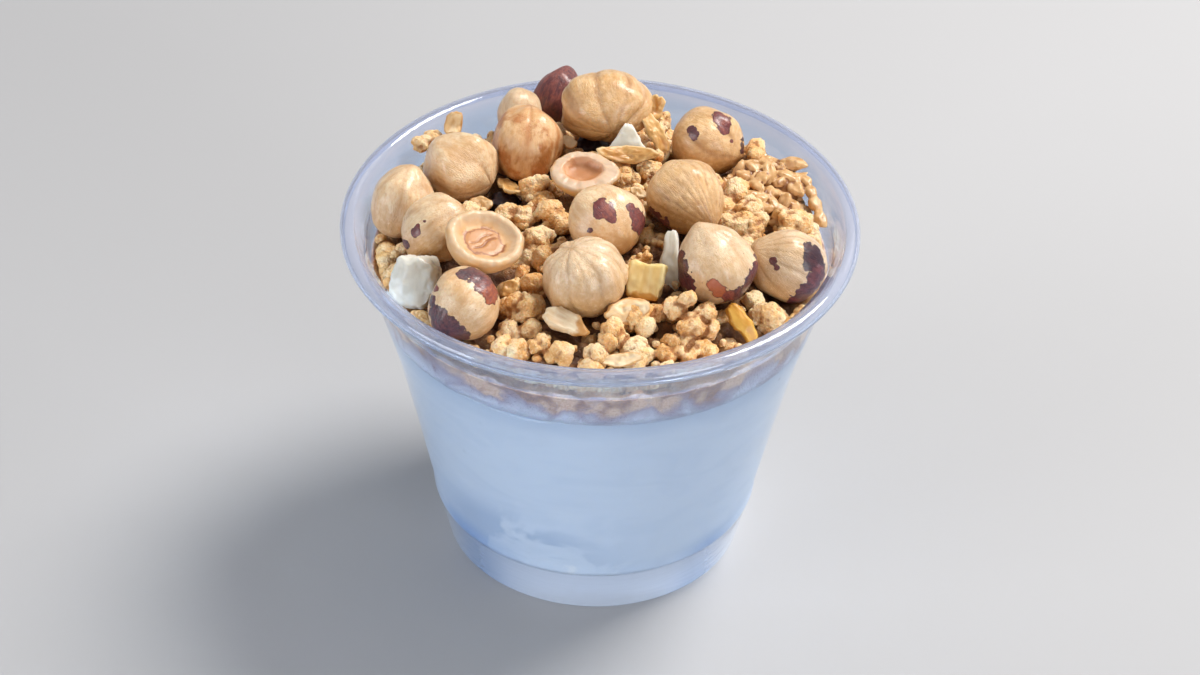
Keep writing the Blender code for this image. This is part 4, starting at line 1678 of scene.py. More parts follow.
@dataclass
class Heap:
    """The granola heap: a rough bed, baked lumps and clusters, crumbs, flakes and puffed grains.

    A dark gap is a ball kept free of granola, where the photograph looks down between the toppings, and a
    prong is a puffed grain that sticks out of its cluster: its middle and where it points.
    """

    cup: Cup
    toppings: list[Kernel | HalfKernel | CutPiece]
    clusters: tuple[Cluster, ...]
    flakes: tuple[Flake, ...]
    prongs: tuple[tuple[Place, Place], ...]
    dark_gaps: tuple[tuple[Place, float], ...] = (((-0.0187, 0.0072, 0.0690), 0.0033),)

    gap = 0.0003
    yogurt_top = 0.0550
    sunk_into_yogurt = 0.0004
    crown = 0.0688
    shoulder = 0.0621
    power = 2.4
    bump = 0.0024
    bump_scale = 150.0
    seat_depth = 0.84
    seat_spread = 0.0056
    crumb_count = 140
    crumb_radius = (0.0022, 0.0033)
    crumb_smallest = 0.0014
    crumb_rise = 0.4
    fine_count = 620
    fine_radius = (0.0006, 0.0014)
    fine_lift = (-0.2, 1.3)
    fine_room = 0.6
    room_passes = 4
    puff_centre = (0.0325, 0.0150)
    puff_reach = (0.0085, 0.0110)
    puff_rise = 0.0030
    puff_grain = (0.0028, 0.0013, 0.0011)
    puff_room = 0.0016
    puff_lift = (0.0, 0.0024)
    puff_inside = 0.95
    puff_rings = 14
    puff_segments = 20
    puff_uneven = 0.22
    puff_groove = 0.16
    puff_groove_width = 0.3
    puff_bend = 0.0006
    puff_shade_rise = 0.0008
    puff_shade_depth = 0.0022
    puff_brown_scale = 420
    puff_fibres = 700
    puffs_shown = 132
    puff_layer = 48
    puff_step = 0.0012
    puff_voxel = 0.00022
    puff_melting = 1
    cluster_voxel = 0.00030
    lump_voxel = 0.00038
    lump_melting = 1
    crumbly = 0.00013
    lumpy = 0.00020
    lumpy_size = 0.0010
    tone_scale = 330
    pit_lumpy = 0.00010
    pit_hollows = (-0.00013, 0.00007)
    pit_share = 0.95
    deep_reach = 0.0028
    deep_most = 0.8
    fewest_nodules = 6
    nodule_jitter = 0.3
    grown = 1.08
    bed_rings = 120
    bed_segments = 300
    into_wall = 0.0002
    bed_sunk = 0.0009
    bed_rough = 0.0009
    bed_rough_scale = 430
    bed_fine = 0.0003
    bed_fine_scale = 1500
    bed_under = 0.0006
    bed_edge = 0.004
    bed_edge_rough = 0.0004
    rim_heights = (0.0562, 0.0575, 0.0586, 0.0597, 0.0608, 0.0613, 0.0617)
    smeared = (0.0546, 0.0600)
    fine_crumb = 0.0010
    grain_size = 0.00042
    grain_height = 0.00006
    edge_count = 260
    edge_radius = (0.0011, 0.0021)
    edge_heights = (0.0622, 0.0650)
    edge_gap = (0.0001, 0.0010)
    edge_room = 0.8

    def __post_init__(self) -> None:
        """Gather the balls that the granola keeps clear of."""
        balls = [one for topping in self.toppings for one in topping.balls()] + list(self.dark_gaps)
        self.middles = np.array([middle for middle, _ in balls])
        self.radii = np.array([radius for _, radius in balls])

    def reach(self) -> float:
        """How far out the heap goes."""
        return self.cup.inner_radius(self.shoulder) - self.gap

    def height(self, x: Array, y: Array) -> Array:
        """Height of the bare heap, which rises to seat the toppings.

        Args:
            x: Places to the right.
            y: Places to the back.

        Returns:
            One height a place.
        """
        share = np.minimum(1, np.hypot(x, y) / self.reach())
        dome = self.crown - (self.crown - self.shoulder) * share**self.power
        from_puffs = np.hypot((x - self.puff_centre[0]) / self.puff_reach[0],
                              (y - self.puff_centre[1]) / self.puff_reach[1])
        dome = dome + self.puff_rise * np.exp(-(from_puffs**4))
        flat = np.column_stack((x, y, np.zeros(len(x)))) * self.bump_scale
        height = dome + self.bump * steady_noise(flat)
        for middle, radius in zip(self.middles, self.radii):
            seat = middle[2] - self.seat_depth * radius
            near = bell(np.hypot(x - middle[0], y - middle[1]), self.seat_spread)
            height = np.maximum(height, dome + (seat - dome) * near)
        return height

    def height_at(self, x: float, y: float) -> float:
        """The heap's height at one place."""
        return float(self.height(np.array([x]), np.array([y]))[0])

    def room_at(self, centre: Array) -> float:
        """The radius that a lump may have at a point, clear of the toppings, the wall and the yogurt.

        Args:
            centre: The point.

        Returns:
            The radius, below zero where there is no room.
        """
        room = (np.linalg.norm(self.middles - centre, axis=1) - self.radii).min() - self.gap
        wall = self.cup.inner_radius(centre[2] - self.crumb_radius[1])
        room = min(room, wall - math.hypot(centre[0], centre[1]) - self.gap)
        return min(room, centre[2] - self.yogurt_top - self.gap)

    def make_room(self, centre: Array, radius: float) -> Array:
        """Move a lump's middle away from the toppings that it would cross.

        Args:
            centre: The lump's middle.
            radius: The lump's radius.

        Returns:
            The moved middle.
        """
        for _ in range(self.room_passes):
            away = np.linalg.norm(self.middles - centre, axis=1) - self.radii
            nearest = int(away.argmin())
            short = radius + self.gap - away[nearest]
            if short > 0:
                centre = centre + unit(centre - self.middles[nearest]) * short
        return centre

    def fitted(self, centre: Place, radius: float, index: int) -> list[Lump]:
        """A lump moved or shrunk until it is clear.

        Args:
            centre: Its middle.
            radius: Its radius.
            index: Which lump it is.

        Returns:
            The one lump, or nothing where too little would be left.
        """
        clear = self.make_room(np.array(centre), radius)
        size = min(radius, self.room_at(clear))
        return [(clear, size, index)] if size >= self.crumb_smallest else []

    def cluster_lumps(self) -> list[Lump]:
        """The lumps of the clusters: one in the middle and the others round it.

        Returns:
            Middles, radii and indices.
        """
        lumps = []
        for number, cluster in enumerate(self.clusters):
            for lump in range(cluster.count):
                index = number * 7 + lump
                angle = math.tau * lump / cluster.count + number
                away = cluster.spread * share_of(index, 0.7, 1.0) if lump else 0.0
                rise = cluster.lump * share_of(index, -0.5, 0.4) if lump else 0.0
                offset = np.array((away * math.cos(angle), away * math.sin(angle), rise))
                radius = cluster.lump * share_of(index, 0.8, 1.1)
                lumps += self.fitted(np.array(cluster.centre) + offset, radius, index)
        return lumps

    def loose_lumps(self) -> list[Lump]:
        """Lumps spread evenly over the whole heap, but not among the puffed grains.

        Returns:
            Middles, radii and indices.
        """
        lumps = []
        reach = self.reach() - self.crumb_smallest
        for index in range(self.crumb_count):
            away = reach * math.sqrt((index + 0.5) / self.crumb_count)
            x = away * math.cos(index * GOLDEN_ANGLE)
            y = away * math.sin(index * GOLDEN_ANGLE)
            radius = share_of(index, *self.crumb_radius)
            lumps += self.fitted((x, y, self.height_at(x, y) + self.crumb_rise * radius), radius, index)
        return [lump for lump in lumps if not self.in_puffed(lump[0])]

    def small_crumbs(self) -> list[Lump]:
        """Crumbs finer than the lumps, lying between them.

        Returns:
            Middles, radii and indices.
        """
        crumbs = []
        for index in range(self.fine_count):
            away = self.reach() * math.sqrt((index + 0.5) / self.fine_count)
            angle = index * GOLDEN_ANGLE + 1.0
            x, y = away * math.cos(angle), away * math.sin(angle)
            radius = share_of(index, *self.fine_radius)
            centre = np.array((x, y, self.height_at(x, y) + share_of(index, *self.fine_lift) * radius))
            if self.room_at(centre) > self.fine_room * radius:
                crumbs.append((centre, radius, index + 1000))
        return crumbs

    def edge_crumbs(self) -> list[Lump]:
        """Small lumps along the wall, which close the gap between the toppings and the cup.

        Returns:
            Middles, radii and indices.
        """
        crumbs = []
        for index in range(self.edge_count):
            radius = share_of(index * 2, *self.edge_radius)
            z = share_of(index * 5, *self.edge_heights)
            away = self.cup.inner_radius(z - radius) - radius - share_of(index * 3, *self.edge_gap)
            angle = index * GOLDEN_ANGLE
            centre = np.array((away * math.cos(angle), away * math.sin(angle), z))
            clear = (np.linalg.norm(self.middles - centre, axis=1) - self.radii).min()
            if clear > self.edge_room * radius:
                crumbs.append((centre, radius, index + 3000))
        return crumbs

    def lump_shell(self, template: Shell, centre: Array, radius: float, index: int) -> Shell:
        """A lump of nodules baked together.

        Args:
            template: The unit ball to shape.
            centre: The lump's middle.
            radius: The lump's radius.
            index: Which lump, for its own shape and tone.

        Returns:
            The shell, with the values that its finish reads.
        """
        directions = template.points
        count = self.fewest_nodules + index % self.fewest_nodules
        steps = np.arange(count)
        nodules = scattered(count, index * 1.9, index, self.nodule_jitter)
        bend = 0.2 * layered_noise(directions * 3.1 + index * 3.3, 3, 3)
        spans = 0.68 + 0.24 * np.sin(steps * 2.4 + index)
        heights = 0.78 + 0.22 * np.cos(steps * 1.3 + index)
        angles = np.arccos(np.clip(directions @ nodules.T, -1, 1)) + bend[:, None]
        cap = (np.sqrt(np.clip(1 - (angles / spans) ** 2, 0, 1)) * heights).max(axis=1)
        dent = np.abs(layered_noise(directions * 1.3 + index * 2.1, 2))
        crisp = 1 - 2 * np.abs(lattice_noise(directions * 3.7 + index * 1.7, 12))
        grains = layered_noise(directions * (radius / self.grain_size) + index, 2, 7)
        grains = grains * self.grain_height / radius
        scale = 0.80 + 0.28 * cap - 0.14 * dent + 0.025 * crisp + grains
        stretch = np.array([share_of(index + axis, 0.78, 1.0) for axis in range(3)])
        points = directions * stretch * (scale * radius * self.grown)[:, None]
        turn = turn_to((math.cos(index * 1.3), math.sin(index * 1.3), share_of(index, -0.9, 0.9)))
        # painted light: the top of each lump is lighter
        painted_top_light = (directions @ turn.T)[:, 2]
        sunk = self.height_at(*centre[:2]) - centre[2]
        values = {
            "tone": share_of(index * 3 + 1, 0.15, 0.8) + 0.2 * painted_top_light,
            # darker between the nodules: partly pooled glaze and partly painted shade
            "pit": np.clip(0.7 - 1.5 * cap, 0, 0.6),
            # painted shade: darker the deeper the lump sits below the heap's surface
            "deep": np.full(len(points), min(0.7, max(0.0, sunk / 0.0025))),
            "smear": np.zeros(len(points)),
            "side": np.zeros(len(points)),
        }
        return Shell(points, template.faces, values).moved(turn, tuple(centre))

    def bed_height(self, x: Array, y: Array, rough: Array) -> Array:
        """Height of the rough bed, which stays clear under the toppings.

        Args:
            x: Places to the right.
            y: Places to the back.
            rough: Its coarse roughness there, about -1 to 1.

        Returns:
            One height a place.
        """
        flat = np.column_stack((x, y, np.zeros(len(x))))
        fine = self.bed_fine * lattice_noise(flat * self.bed_fine_scale, 6)
        height = self.height(x, y) - self.bed_sunk + self.bed_rough * rough + fine
        for middle, radius in zip(self.middles, self.radii):
            away = np.hypot(x - middle[0], y - middle[1])
            under = middle[2] - np.sqrt(np.clip(radius**2 - away**2, 0, None)) + self.bed_under
            height = np.where(away < radius, np.minimum(height, under), height)
        return height

    def make_bed(self) -> None:
        """The rough bed under everything, with its side just in the cup's wall."""
        low = self.yogurt_top - self.sunk_into_yogurt
        rim = [(self.cup.inner_radius(z) + self.into_wall, z) for z in (low, *self.rim_heights)]
        outer = rim[-1][0]
        top = [(outer * ring / self.bed_rings, self.crown) for ring in range(self.bed_rings - 1, -1, -1)]
        shell = revolved(np.array([(0, low)] + rim + top), self.bed_segments)
        on_top = shell.points[:, 2] >= self.crown
        x, y = shell.points[on_top, 0], shell.points[on_top, 1]
        rough = layered_noise(np.column_stack((x, y, np.zeros(len(x)))) * self.bed_rough_scale, 3, 2)
        edge = smooth_step(np.hypot(x, y), outer - self.bed_edge, outer)
        height = self.bed_height(x, y, rough) * (1 - edge)
        shell.points[on_top, 2] = height + (self.shoulder + self.bed_edge_rough * rough) * edge
        # painted shade: the bed's top, seen only in the gaps, is darkened toward near black, more in its low
        # spots and less near the wall; its side a little
        deep = np.full(len(shell.points), 0.3)
        by_wall = smooth_step(np.hypot(x, y), outer - 0.006, outer - 0.002)
        deep[on_top] = (0.75 + 0.25 * smooth_step(rough, 0.7, -0.3)) * (1 - 0.55 * by_wall)
        side = ~on_top | (np.hypot(shell.points[:, 0], shell.points[:, 1]) > outer - 0.0004)
        wet_to, dry_from = self.smeared
        shell.values = {
            "tone": np.full(len(shell.points), 0.35),
            "pit": np.full(len(shell.points), 0.25),
            "deep": deep,
            "smear": np.clip((dry_from - shell.points[:, 2]) / (dry_from - wet_to), 0, 1),
            "side": side.astype(float),
        }
        shell.piece("granola_bed", GRANOLA, "granola", "granola")

    def make_lumps(self) -> None:
        """The clusters and the loose lumps, each kind baked together, and the crumbs."""
        fine, coarse, small = even_ball(4), even_ball(3), even_ball(2)
        crumbs = self.small_crumbs()
        groups = (
            ("granola_clusters", fine, self.cluster_lumps(), self.cluster_voxel),
            ("granola_lumps", fine, self.loose_lumps(), self.lump_voxel),
            ("granola_edge", coarse, self.edge_crumbs(), None),
            ("granola_crumbs", coarse, [crumb for crumb in crumbs if crumb[1] > self.fine_crumb], None),
            ("granola_grit", small, [crumb for crumb in crumbs if crumb[1] <= self.fine_crumb], None),
        )
        for name, template, lumps, voxel in groups:
            shell = Shell.joined([self.lump_shell(template, *lump) for lump in lumps])
            shell = shell if voxel is None else self.baked(shell, voxel)
            shell.piece(name, GRANOLA, "granola", "granola")

    def baked(self, lumps: Shell, voxel: float) -> Shell:
        """Lumps melted together, crumbly, with honey in their hollows, darkened there partly as painted
        shade, lighter on top as painted light.

        Args:
            lumps: The lumps, joined.
            voxel: The size of the skin's steps.

        Returns:
            One skin, with the values that its finish reads.
        """
        shell, normals = melted(lumps, voxel, self.lump_melting)
        crumbs = layered_noise(shell.points / self.grain_size, 2, 7)
        knobs = layered_noise(shell.points / self.lumpy_size, 2, 3)
        broad = lattice_noise(shell.points * self.tone_scale, 9)
        # darker hollows: partly pooled glaze and partly painted shade
        pit = smooth_step(shell.values["hollow"] - self.pit_lumpy * knobs, *self.pit_hollows)
        shell.points = shell.points + normals * (self.crumbly * crumbs + self.lumpy * knobs)[:, None]
        x, y, z = shell.points.T
        shell.values = {
            # painted light: surfaces facing up are lighter
            "tone": 0.5 + 0.4 * broad + 0.15 * normals[:, 2],
            "pit": self.pit_share * pit,
            # painted shade: darker below the heap's surface
            "deep": np.clip((self.height(x, y) - z) / self.deep_reach, 0, self.deep_most),
            "smear": np.zeros(len(z)),
            "side": np.zeros(len(z)),
        }
        return shell

    def in_puffed(self, centre: Array) -> bool:
        """Whether a point lies among the puffed grains.

        Args:
            centre: The point.

        Returns:
            True where it does.
        """
        x = (centre[0] - self.puff_centre[0]) / self.puff_reach[0]
        y = (centre[1] - self.puff_centre[1]) / self.puff_reach[1]
        return math.hypot(x, y) < self.puff_inside

    def grain_shell(self, template: Shell, centre: Array, direction: Place, index: int) -> Shell:
        """One puffed grain with pointed ends.

        Args:
            template: The unit ball to shape.
            centre: The grain's middle.
            direction: Where it points.
            index: Which grain, for its own shape.

        Returns:
            The shell.
        """
        long, wide, flat = self.puff_grain
        x, y, z = template.points.T
        lumpy = 1 + self.puff_uneven * layered_noise(template.points * 1.5 + index * 2.3, 2)
        slim = (1 - share_of(index * 3, 0.1, 0.5) * np.abs(z) ** 1.5) * lumpy
        groove = 1 - self.puff_groove * bell(x, self.puff_groove_width) * (y > 0)
        size = share_of(index, 0.62, 1.2)
        stout = share_of(index * 5, 0.95, 1.3)
        sides = (x * wide * slim * stout, y * flat * slim * groove * stout, z * long * lumpy)
        points = np.column_stack(sides) * size
        points[:, 0] += self.puff_bend * (z**2) * share_of(index * 2, -1, 1)
        return Shell(points, template.faces).moved(turn_to(direction), tuple(centre))

    def make_puffed(self) -> None:
        """The cluster of puffed grains: they fan out down the rise, towards the wall and the front."""
        template = ball(self.puff_rings, self.puff_segments)
        grains = []
        for index in range(self.puffs_shown):
            away = math.sqrt((index % self.puff_layer + 0.5) / self.puff_layer)
            angle = index * GOLDEN_ANGLE
            x = self.puff_centre[0] + self.puff_reach[0] * away * math.cos(angle)
            y = self.puff_centre[1] + self.puff_reach[1] * away * math.sin(angle)
            layer = index // self.puff_layer
            lift = share_of(index, *self.puff_lift) - self.puff_step * layer
            centre = np.array((x, y, self.height_at(x, y) + lift))
            lie = index * GOLDEN_ANGLE * 1.7
            down = share_of(index * 2, -0.9, 0.5) - 0.3 * away
            if self.room_at(centre) >= self.puff_room:
                direction = (math.cos(lie) + 0.7, math.sin(lie) - 0.5, down)
                grains.append(self.grain_shell(template, centre, direction, index))
        for index, (centre, direction) in enumerate(self.prongs):
            grains.append(self.grain_shell(template, np.array(centre), direction, index * 5 + 3))
        puffed, _ = melted(Shell.joined(grains), self.puff_voxel, self.puff_melting)
        x, y, z = puffed.points.T
        # painted shade: grains are browner the lower they lie below the heap's top
        sunk = np.clip((self.height(x, y) + self.puff_shade_rise - z) / self.puff_shade_depth, 0, 1)
        patches = layered_noise(puffed.points * self.puff_brown_scale, 3, 4)
        # painted shade in the hollows between grains
        between = smooth_step(puffed.values["hollow"], -0.00004, 0.00018)
        puffed.values = {
            "grain": puffed.points * self.puff_fibres,
            "brown": 0.1 + 0.3 * patches + 0.4 * sunk + 0.75 * between,
        }
        puffed.piece("puffed_grains", PUFFED, "granola", "granola")

    def make_flakes(self) -> None:
        """The flakes, oat and toasted."""
        for name, finish, toasted in (("oat_flakes", OAT, False), ("toasted_flakes", TOASTED_FLAKE, True)):
            chosen = [flake.shell(i) for i, flake in enumerate(self.flakes) if flake.toasted is toasted]
            Shell.joined(chosen).piece(name, finish, "granola", "granola")

    def make(self) -> None:
        """Make the whole heap."""
        self.make_bed()
        self.make_lumps()
        self.make_puffed()
        self.make_flakes()


# --- the tables --------------------------------------------------

KERNELS = (
    Kernel("hazelnut_01", (-0.0363, 0.0045, 0.0694), 0.0061, 0.0068, (0.19, 0.35, 0.92),
           rib_depth=0.04, folds=7, fold_depth=0.02, shaded=0.6),
    Kernel("hazelnut_02", (-0.0263, 0.0129, 0.0721), 0.0065, 0.0069, (0.85, -0.46, -0.27), ribs=5,
           rib_depth=0.05, folds=7, fold_depth=0.065, angular=0.95, shaded=0.1),
    Kernel("hazelnut_03", (-0.0298, -0.0063, 0.0713), 0.0060, 0.0069, (0.72, 0.08, 0.69), ribs=5,
           folds=6, fold_depth=0.022, angular=0.5, shaded=1.0,
           spots=((-0.52, -0.11, 0.12, 0.45), (-0.47, 0.05, 0.06, 0.45), (-0.62, -0.06, 0.06, 0.4),
                  (-0.26, 0.21, 0.04, 0.3), (-0.84, -0.42, 0.11, 0.3))),
    Kernel("hazelnut_04", (-0.0233, -0.0274, 0.0706), 0.0063, 0.0066, (-0.6, -0.72, -0.35),
           shaded=0.6,
           spots=((-0.06, 0.79, 0.12, 0.2), (0.16, 0.87, 0.16, 0.25), (0.38, 0.76, 0.22, 0.35),
                  (0.57, 0.58, 0.23, 0.5), (0.72, 0.36, 0.22, 0.75), (0.76, 0.14, 0.14, 0.8),
                  (-0.8, -0.24, 0.17, 0.25), (-0.62, -0.42, 0.22, 0.25), (-0.42, -0.62, 0.22, 0.25),
                  (-0.22, -0.78, 0.2, 0.25), (0.0, -0.9, 0.14, 0.25), (-0.9, 0.1, 0.12, 0.2),
                  (-0.77, 0.4, 0.08, 0.7))),
    Kernel("hazelnut_05", (-0.0143, 0.0192, 0.0727), 0.0066, 0.0073, (0.1, 0.44, 0.89), ribs=5,
           rib_depth=0.06, tone=Tone.TOASTED, folds=6, fold_depth=0.03, angular=0.6, shaded=0.45),
    Kernel("hazelnut_06", (-0.0158, 0.0310, 0.0719), 0.0043, 0.0050, (0.0, 0.44, 0.89), ribs=5,
           tone=Tone.PALE),
    Kernel("hazelnut_07", (-0.0089, 0.0378, 0.0713), 0.0047, 0.0060, (0.37, 0.64, 0.67), tip=0.12,
           tone=Tone.SKINNED),
    Kernel("hazelnut_08", (0.0007, 0.0264, 0.0774), 0.0089, 0.0071, (0.15, -0.97, -0.19), ribs=5,
           rib_depth=0.08, flat=0.76, tone=Tone.TAN, folds=11, fold_depth=0.05),
    Kernel("hazelnut_09", (0.0196, 0.0237, 0.0715), 0.0068, 0.0068, (0.85, -0.5, -0.14), ribs=5, tone=Tone.TAN, fold_depth=0.035, shaded=1.0,
           spots=((-0.42, 0.3, 0.1, 0.3), (-0.38, 0.14, 0.11, 0.3), (0.3, 0.64, 0.12, 0.5),
                  (0.4, 0.5, 0.15, 0.55), (0.47, 0.34, 0.13, 0.55), (0.69, -0.02, 0.05, 0.6),
                  (0.95, 0.06, 0.05, 0.1), (0.94, -0.1, 0.06, 0.1), (0.91, -0.26, 0.05, 0.1))),
    Kernel("hazelnut_10", (0.0154, 0.0015, 0.0745), 0.0070, 0.0072, (0.57, -0.79, -0.21), tip=0.20, ribs=7,
           tone=Tone.TAN, nub=0.07, folds=19, fold_depth=0.034, fold_reach=2.5,
           spots=((-0.9, -0.4, 0.1, 0.4), (-0.8, -0.6, 0.15, 0.4), (-0.62, -0.78, 0.18, 0.45),
                  (-0.45, -0.88, 0.12, 0.4))),
    Kernel("hazelnut_11", (0.0010, -0.0068, 0.0745), 0.0071, 0.0069, (0.54, -0.84, -0.03),
           rib_depth=0.02, flat=0.94,
           spots=((-0.13, 0.37, 0.15, 0.5), (0.03, 0.22, 0.18, 0.6), (0.15, 0.02, 0.1, 0.5),
                  (-0.18, 0.12, 0.1, 0.5), (0.66, 0.32, 0.09, 0.5), (0.79, 0.12, 0.15, 0.5),
                  (0.87, -0.11, 0.18, 0.5), (0.89, -0.27, 0.1, 0.5), (-0.4, -0.28, 0.06, 0.35))),
    Kernel("hazelnut_12", (-0.0025, -0.0223, 0.0731), 0.0076, 0.0068, (-0.36, -0.03, 0.93), ribs=7,
           rib_depth=0.07, tone=Tone.PALE, nub=0.02, folds=13, fold_depth=0.045, shaded=1.0),
    Kernel("hazelnut_13", (0.0206, -0.0177, 0.0730), 0.0070, 0.0071, (-0.42, 0.22, 0.88), tip=0.18,
           rib_depth=0.05, tone=Tone.PALE, nub=0.08, folds=7, fold_depth=0.02, shaded=0.75,
           spots=((-0.9, 0.22, 0.13, 0.3), (-0.92, 0.02, 0.18, 0.25), (-0.9, -0.2, 0.21, 0.2),
                  (-0.82, -0.42, 0.19, 0.3), (-0.7, -0.58, 0.12, 0.35), (-0.08, -0.48, 0.12, 1.0),
                  (0.08, -0.66, 0.14, 0.95), (0.3, -0.78, 0.15, 0.6), (0.52, -0.76, 0.15, 0.35),
                  (0.7, -0.64, 0.16, 0.25), (0.84, -0.44, 0.15, 0.3), (0.94, -0.2, 0.12, 0.4),
                  (0.98, 0.03, 0.09, 0.4), (0.96, 0.24, 0.06, 0.3))),
    Kernel("hazelnut_14", (0.0341, -0.0106, 0.0682), 0.0065, 0.0074, (-0.80, -0.21, 0.56), tip=0.10, tone=Tone.PALE, nub=0.05, folds=13, fold_depth=0.03, shaded=1.0,
           spots=((0.5, 0.46, 0.14, 0.05), (0.68, 0.36, 0.16, 0.05), (0.52, 0.22, 0.16, 0.05),
                  (0.7, 0.12, 0.18, 0.1), (0.52, 0.0, 0.14, 0.1), (0.72, -0.12, 0.16, 0.4),
                  (0.84, -0.3, 0.12, 0.4), (0.6, -0.34, 0.15, 0.35), (0.69, -0.51, 0.17, 0.35),
                  (0.5, -0.68, 0.19, 0.3), (0.32, -0.84, 0.18, 0.3), (0.12, -0.93, 0.15, 0.3),
                  (-0.45, 0.1, 0.08, 0.4), (-0.36, -0.06, 0.06, 0.4))),
)

HALF_KERNELS = (
    HalfKernel("hazelnut_half_1", (-0.0202, -0.0158, 0.0769), 0.0067, 0.0072, (0.24, -0.2, 0.95),
               (1, 0.25, 0), 0.0064, 0.03, seed_height=0.06, hollow_reach=0.80, ledge_angle=2.3),
    HalfKernel("hazelnut_half_2", (-0.0034, 0.0075, 0.0755), 0.0054, 0.0061, (0.02, -0.17, 0.98),
               (1, 0, 0), 0.0044, 0.16, seed_height=0.0, finish=HOLLOW_KERNEL, hollow_reach=0.6,
               hollow_depth=0.4, hollow_shift=(-0.0003, 0.0009)),
)

CUT_PIECES = (
    CutPiece("coconut_chunk", (-0.0324, -0.0173, 0.0678), (0.0088, 0.0070, 0.0092), (0.1, 0.5, 0.86),
             (-0.35, -0.8, 0.5), COCONUT, "coconut", taper=0.12, bevel=0.0010,
             uneven=0.0005, ridge=0.0009, ragged=0.10, rounded=0.2),
    CutPiece("coconut_chip", (0.0048, 0.0173, 0.0760), (0.0086, 0.0020, 0.0060), (0, 0.5, 0.87),
             (0, -0.8, 0.6), COCONUT, "coconut", taper=0.85, bevel=0.0009, uneven=0.0002, ragged=0.12),
    CutPiece("coconut_strip", (0.0128, -0.0116, 0.0688), (0.0042, 0.0012, 0.0122), (0.05, 0.61, 0.79),
             (-0.2, -0.8, 0.6), COCONUT, "coconut", taper=0.35, bend=0.0009,
             uneven=0.0002, ragged=0.07, rounded=0.18),
    CutPiece("coconut_flake", (-0.0055, -0.0307, 0.0694), (0.0044, 0.0017, 0.0088), (0.9, -0.26, -0.34),
             (0.1, -0.5, 0.85), TOASTED_COCONUT, "coconut", taper=0.25, bend=0.0004, bevel=0.0008,
             uneven=0.0004, brown_end=0.6, ragged=0.2, rounded=0.3),
    CutPiece("fruit_cube", (0.0083, -0.0195, 0.0709), (0.0060, 0.0050, 0.0070), (0.15, 0.55, 0.8),
             (-0.1, -0.8, 0.6), YELLOW_FRUIT, "yellow_fruit", taper=-0.12, bevel=0.0007, hollow=0.0006,
             brown_end=-0.35, ragged=0.03, rounded=0.04),
    CutPiece("fruit_slice", (0.0254, -0.0268, 0.0670), (0.0036, 0.0022, 0.0082), (0.6, -0.49, -0.63),
             (0.1, -0.7, 0.7), ORANGE_FRUIT, "yellow_fruit", taper=0.2, bend=0.0005,
             ragged=0.15, rounded=0.2),
    CutPiece("raisin_1", (-0.0180, 0.0093, 0.0661), (0.0046, 0.0040, 0.0054), (0.8, 0.2, -0.5),
             (0, -0.5, 0.8), RAISIN, "raisin", taper=0.1, bevel=0.0019, uneven=0.0005),
    CutPiece("raisin_2", (-0.0020, 0.0264, 0.0680), (0.0046, 0.0038, 0.0060), (1, 0.1, 0),
             (0, -0.5, 0.8), RAISIN, "raisin", taper=0.1, bevel=0.0018, uneven=0.0005),
)

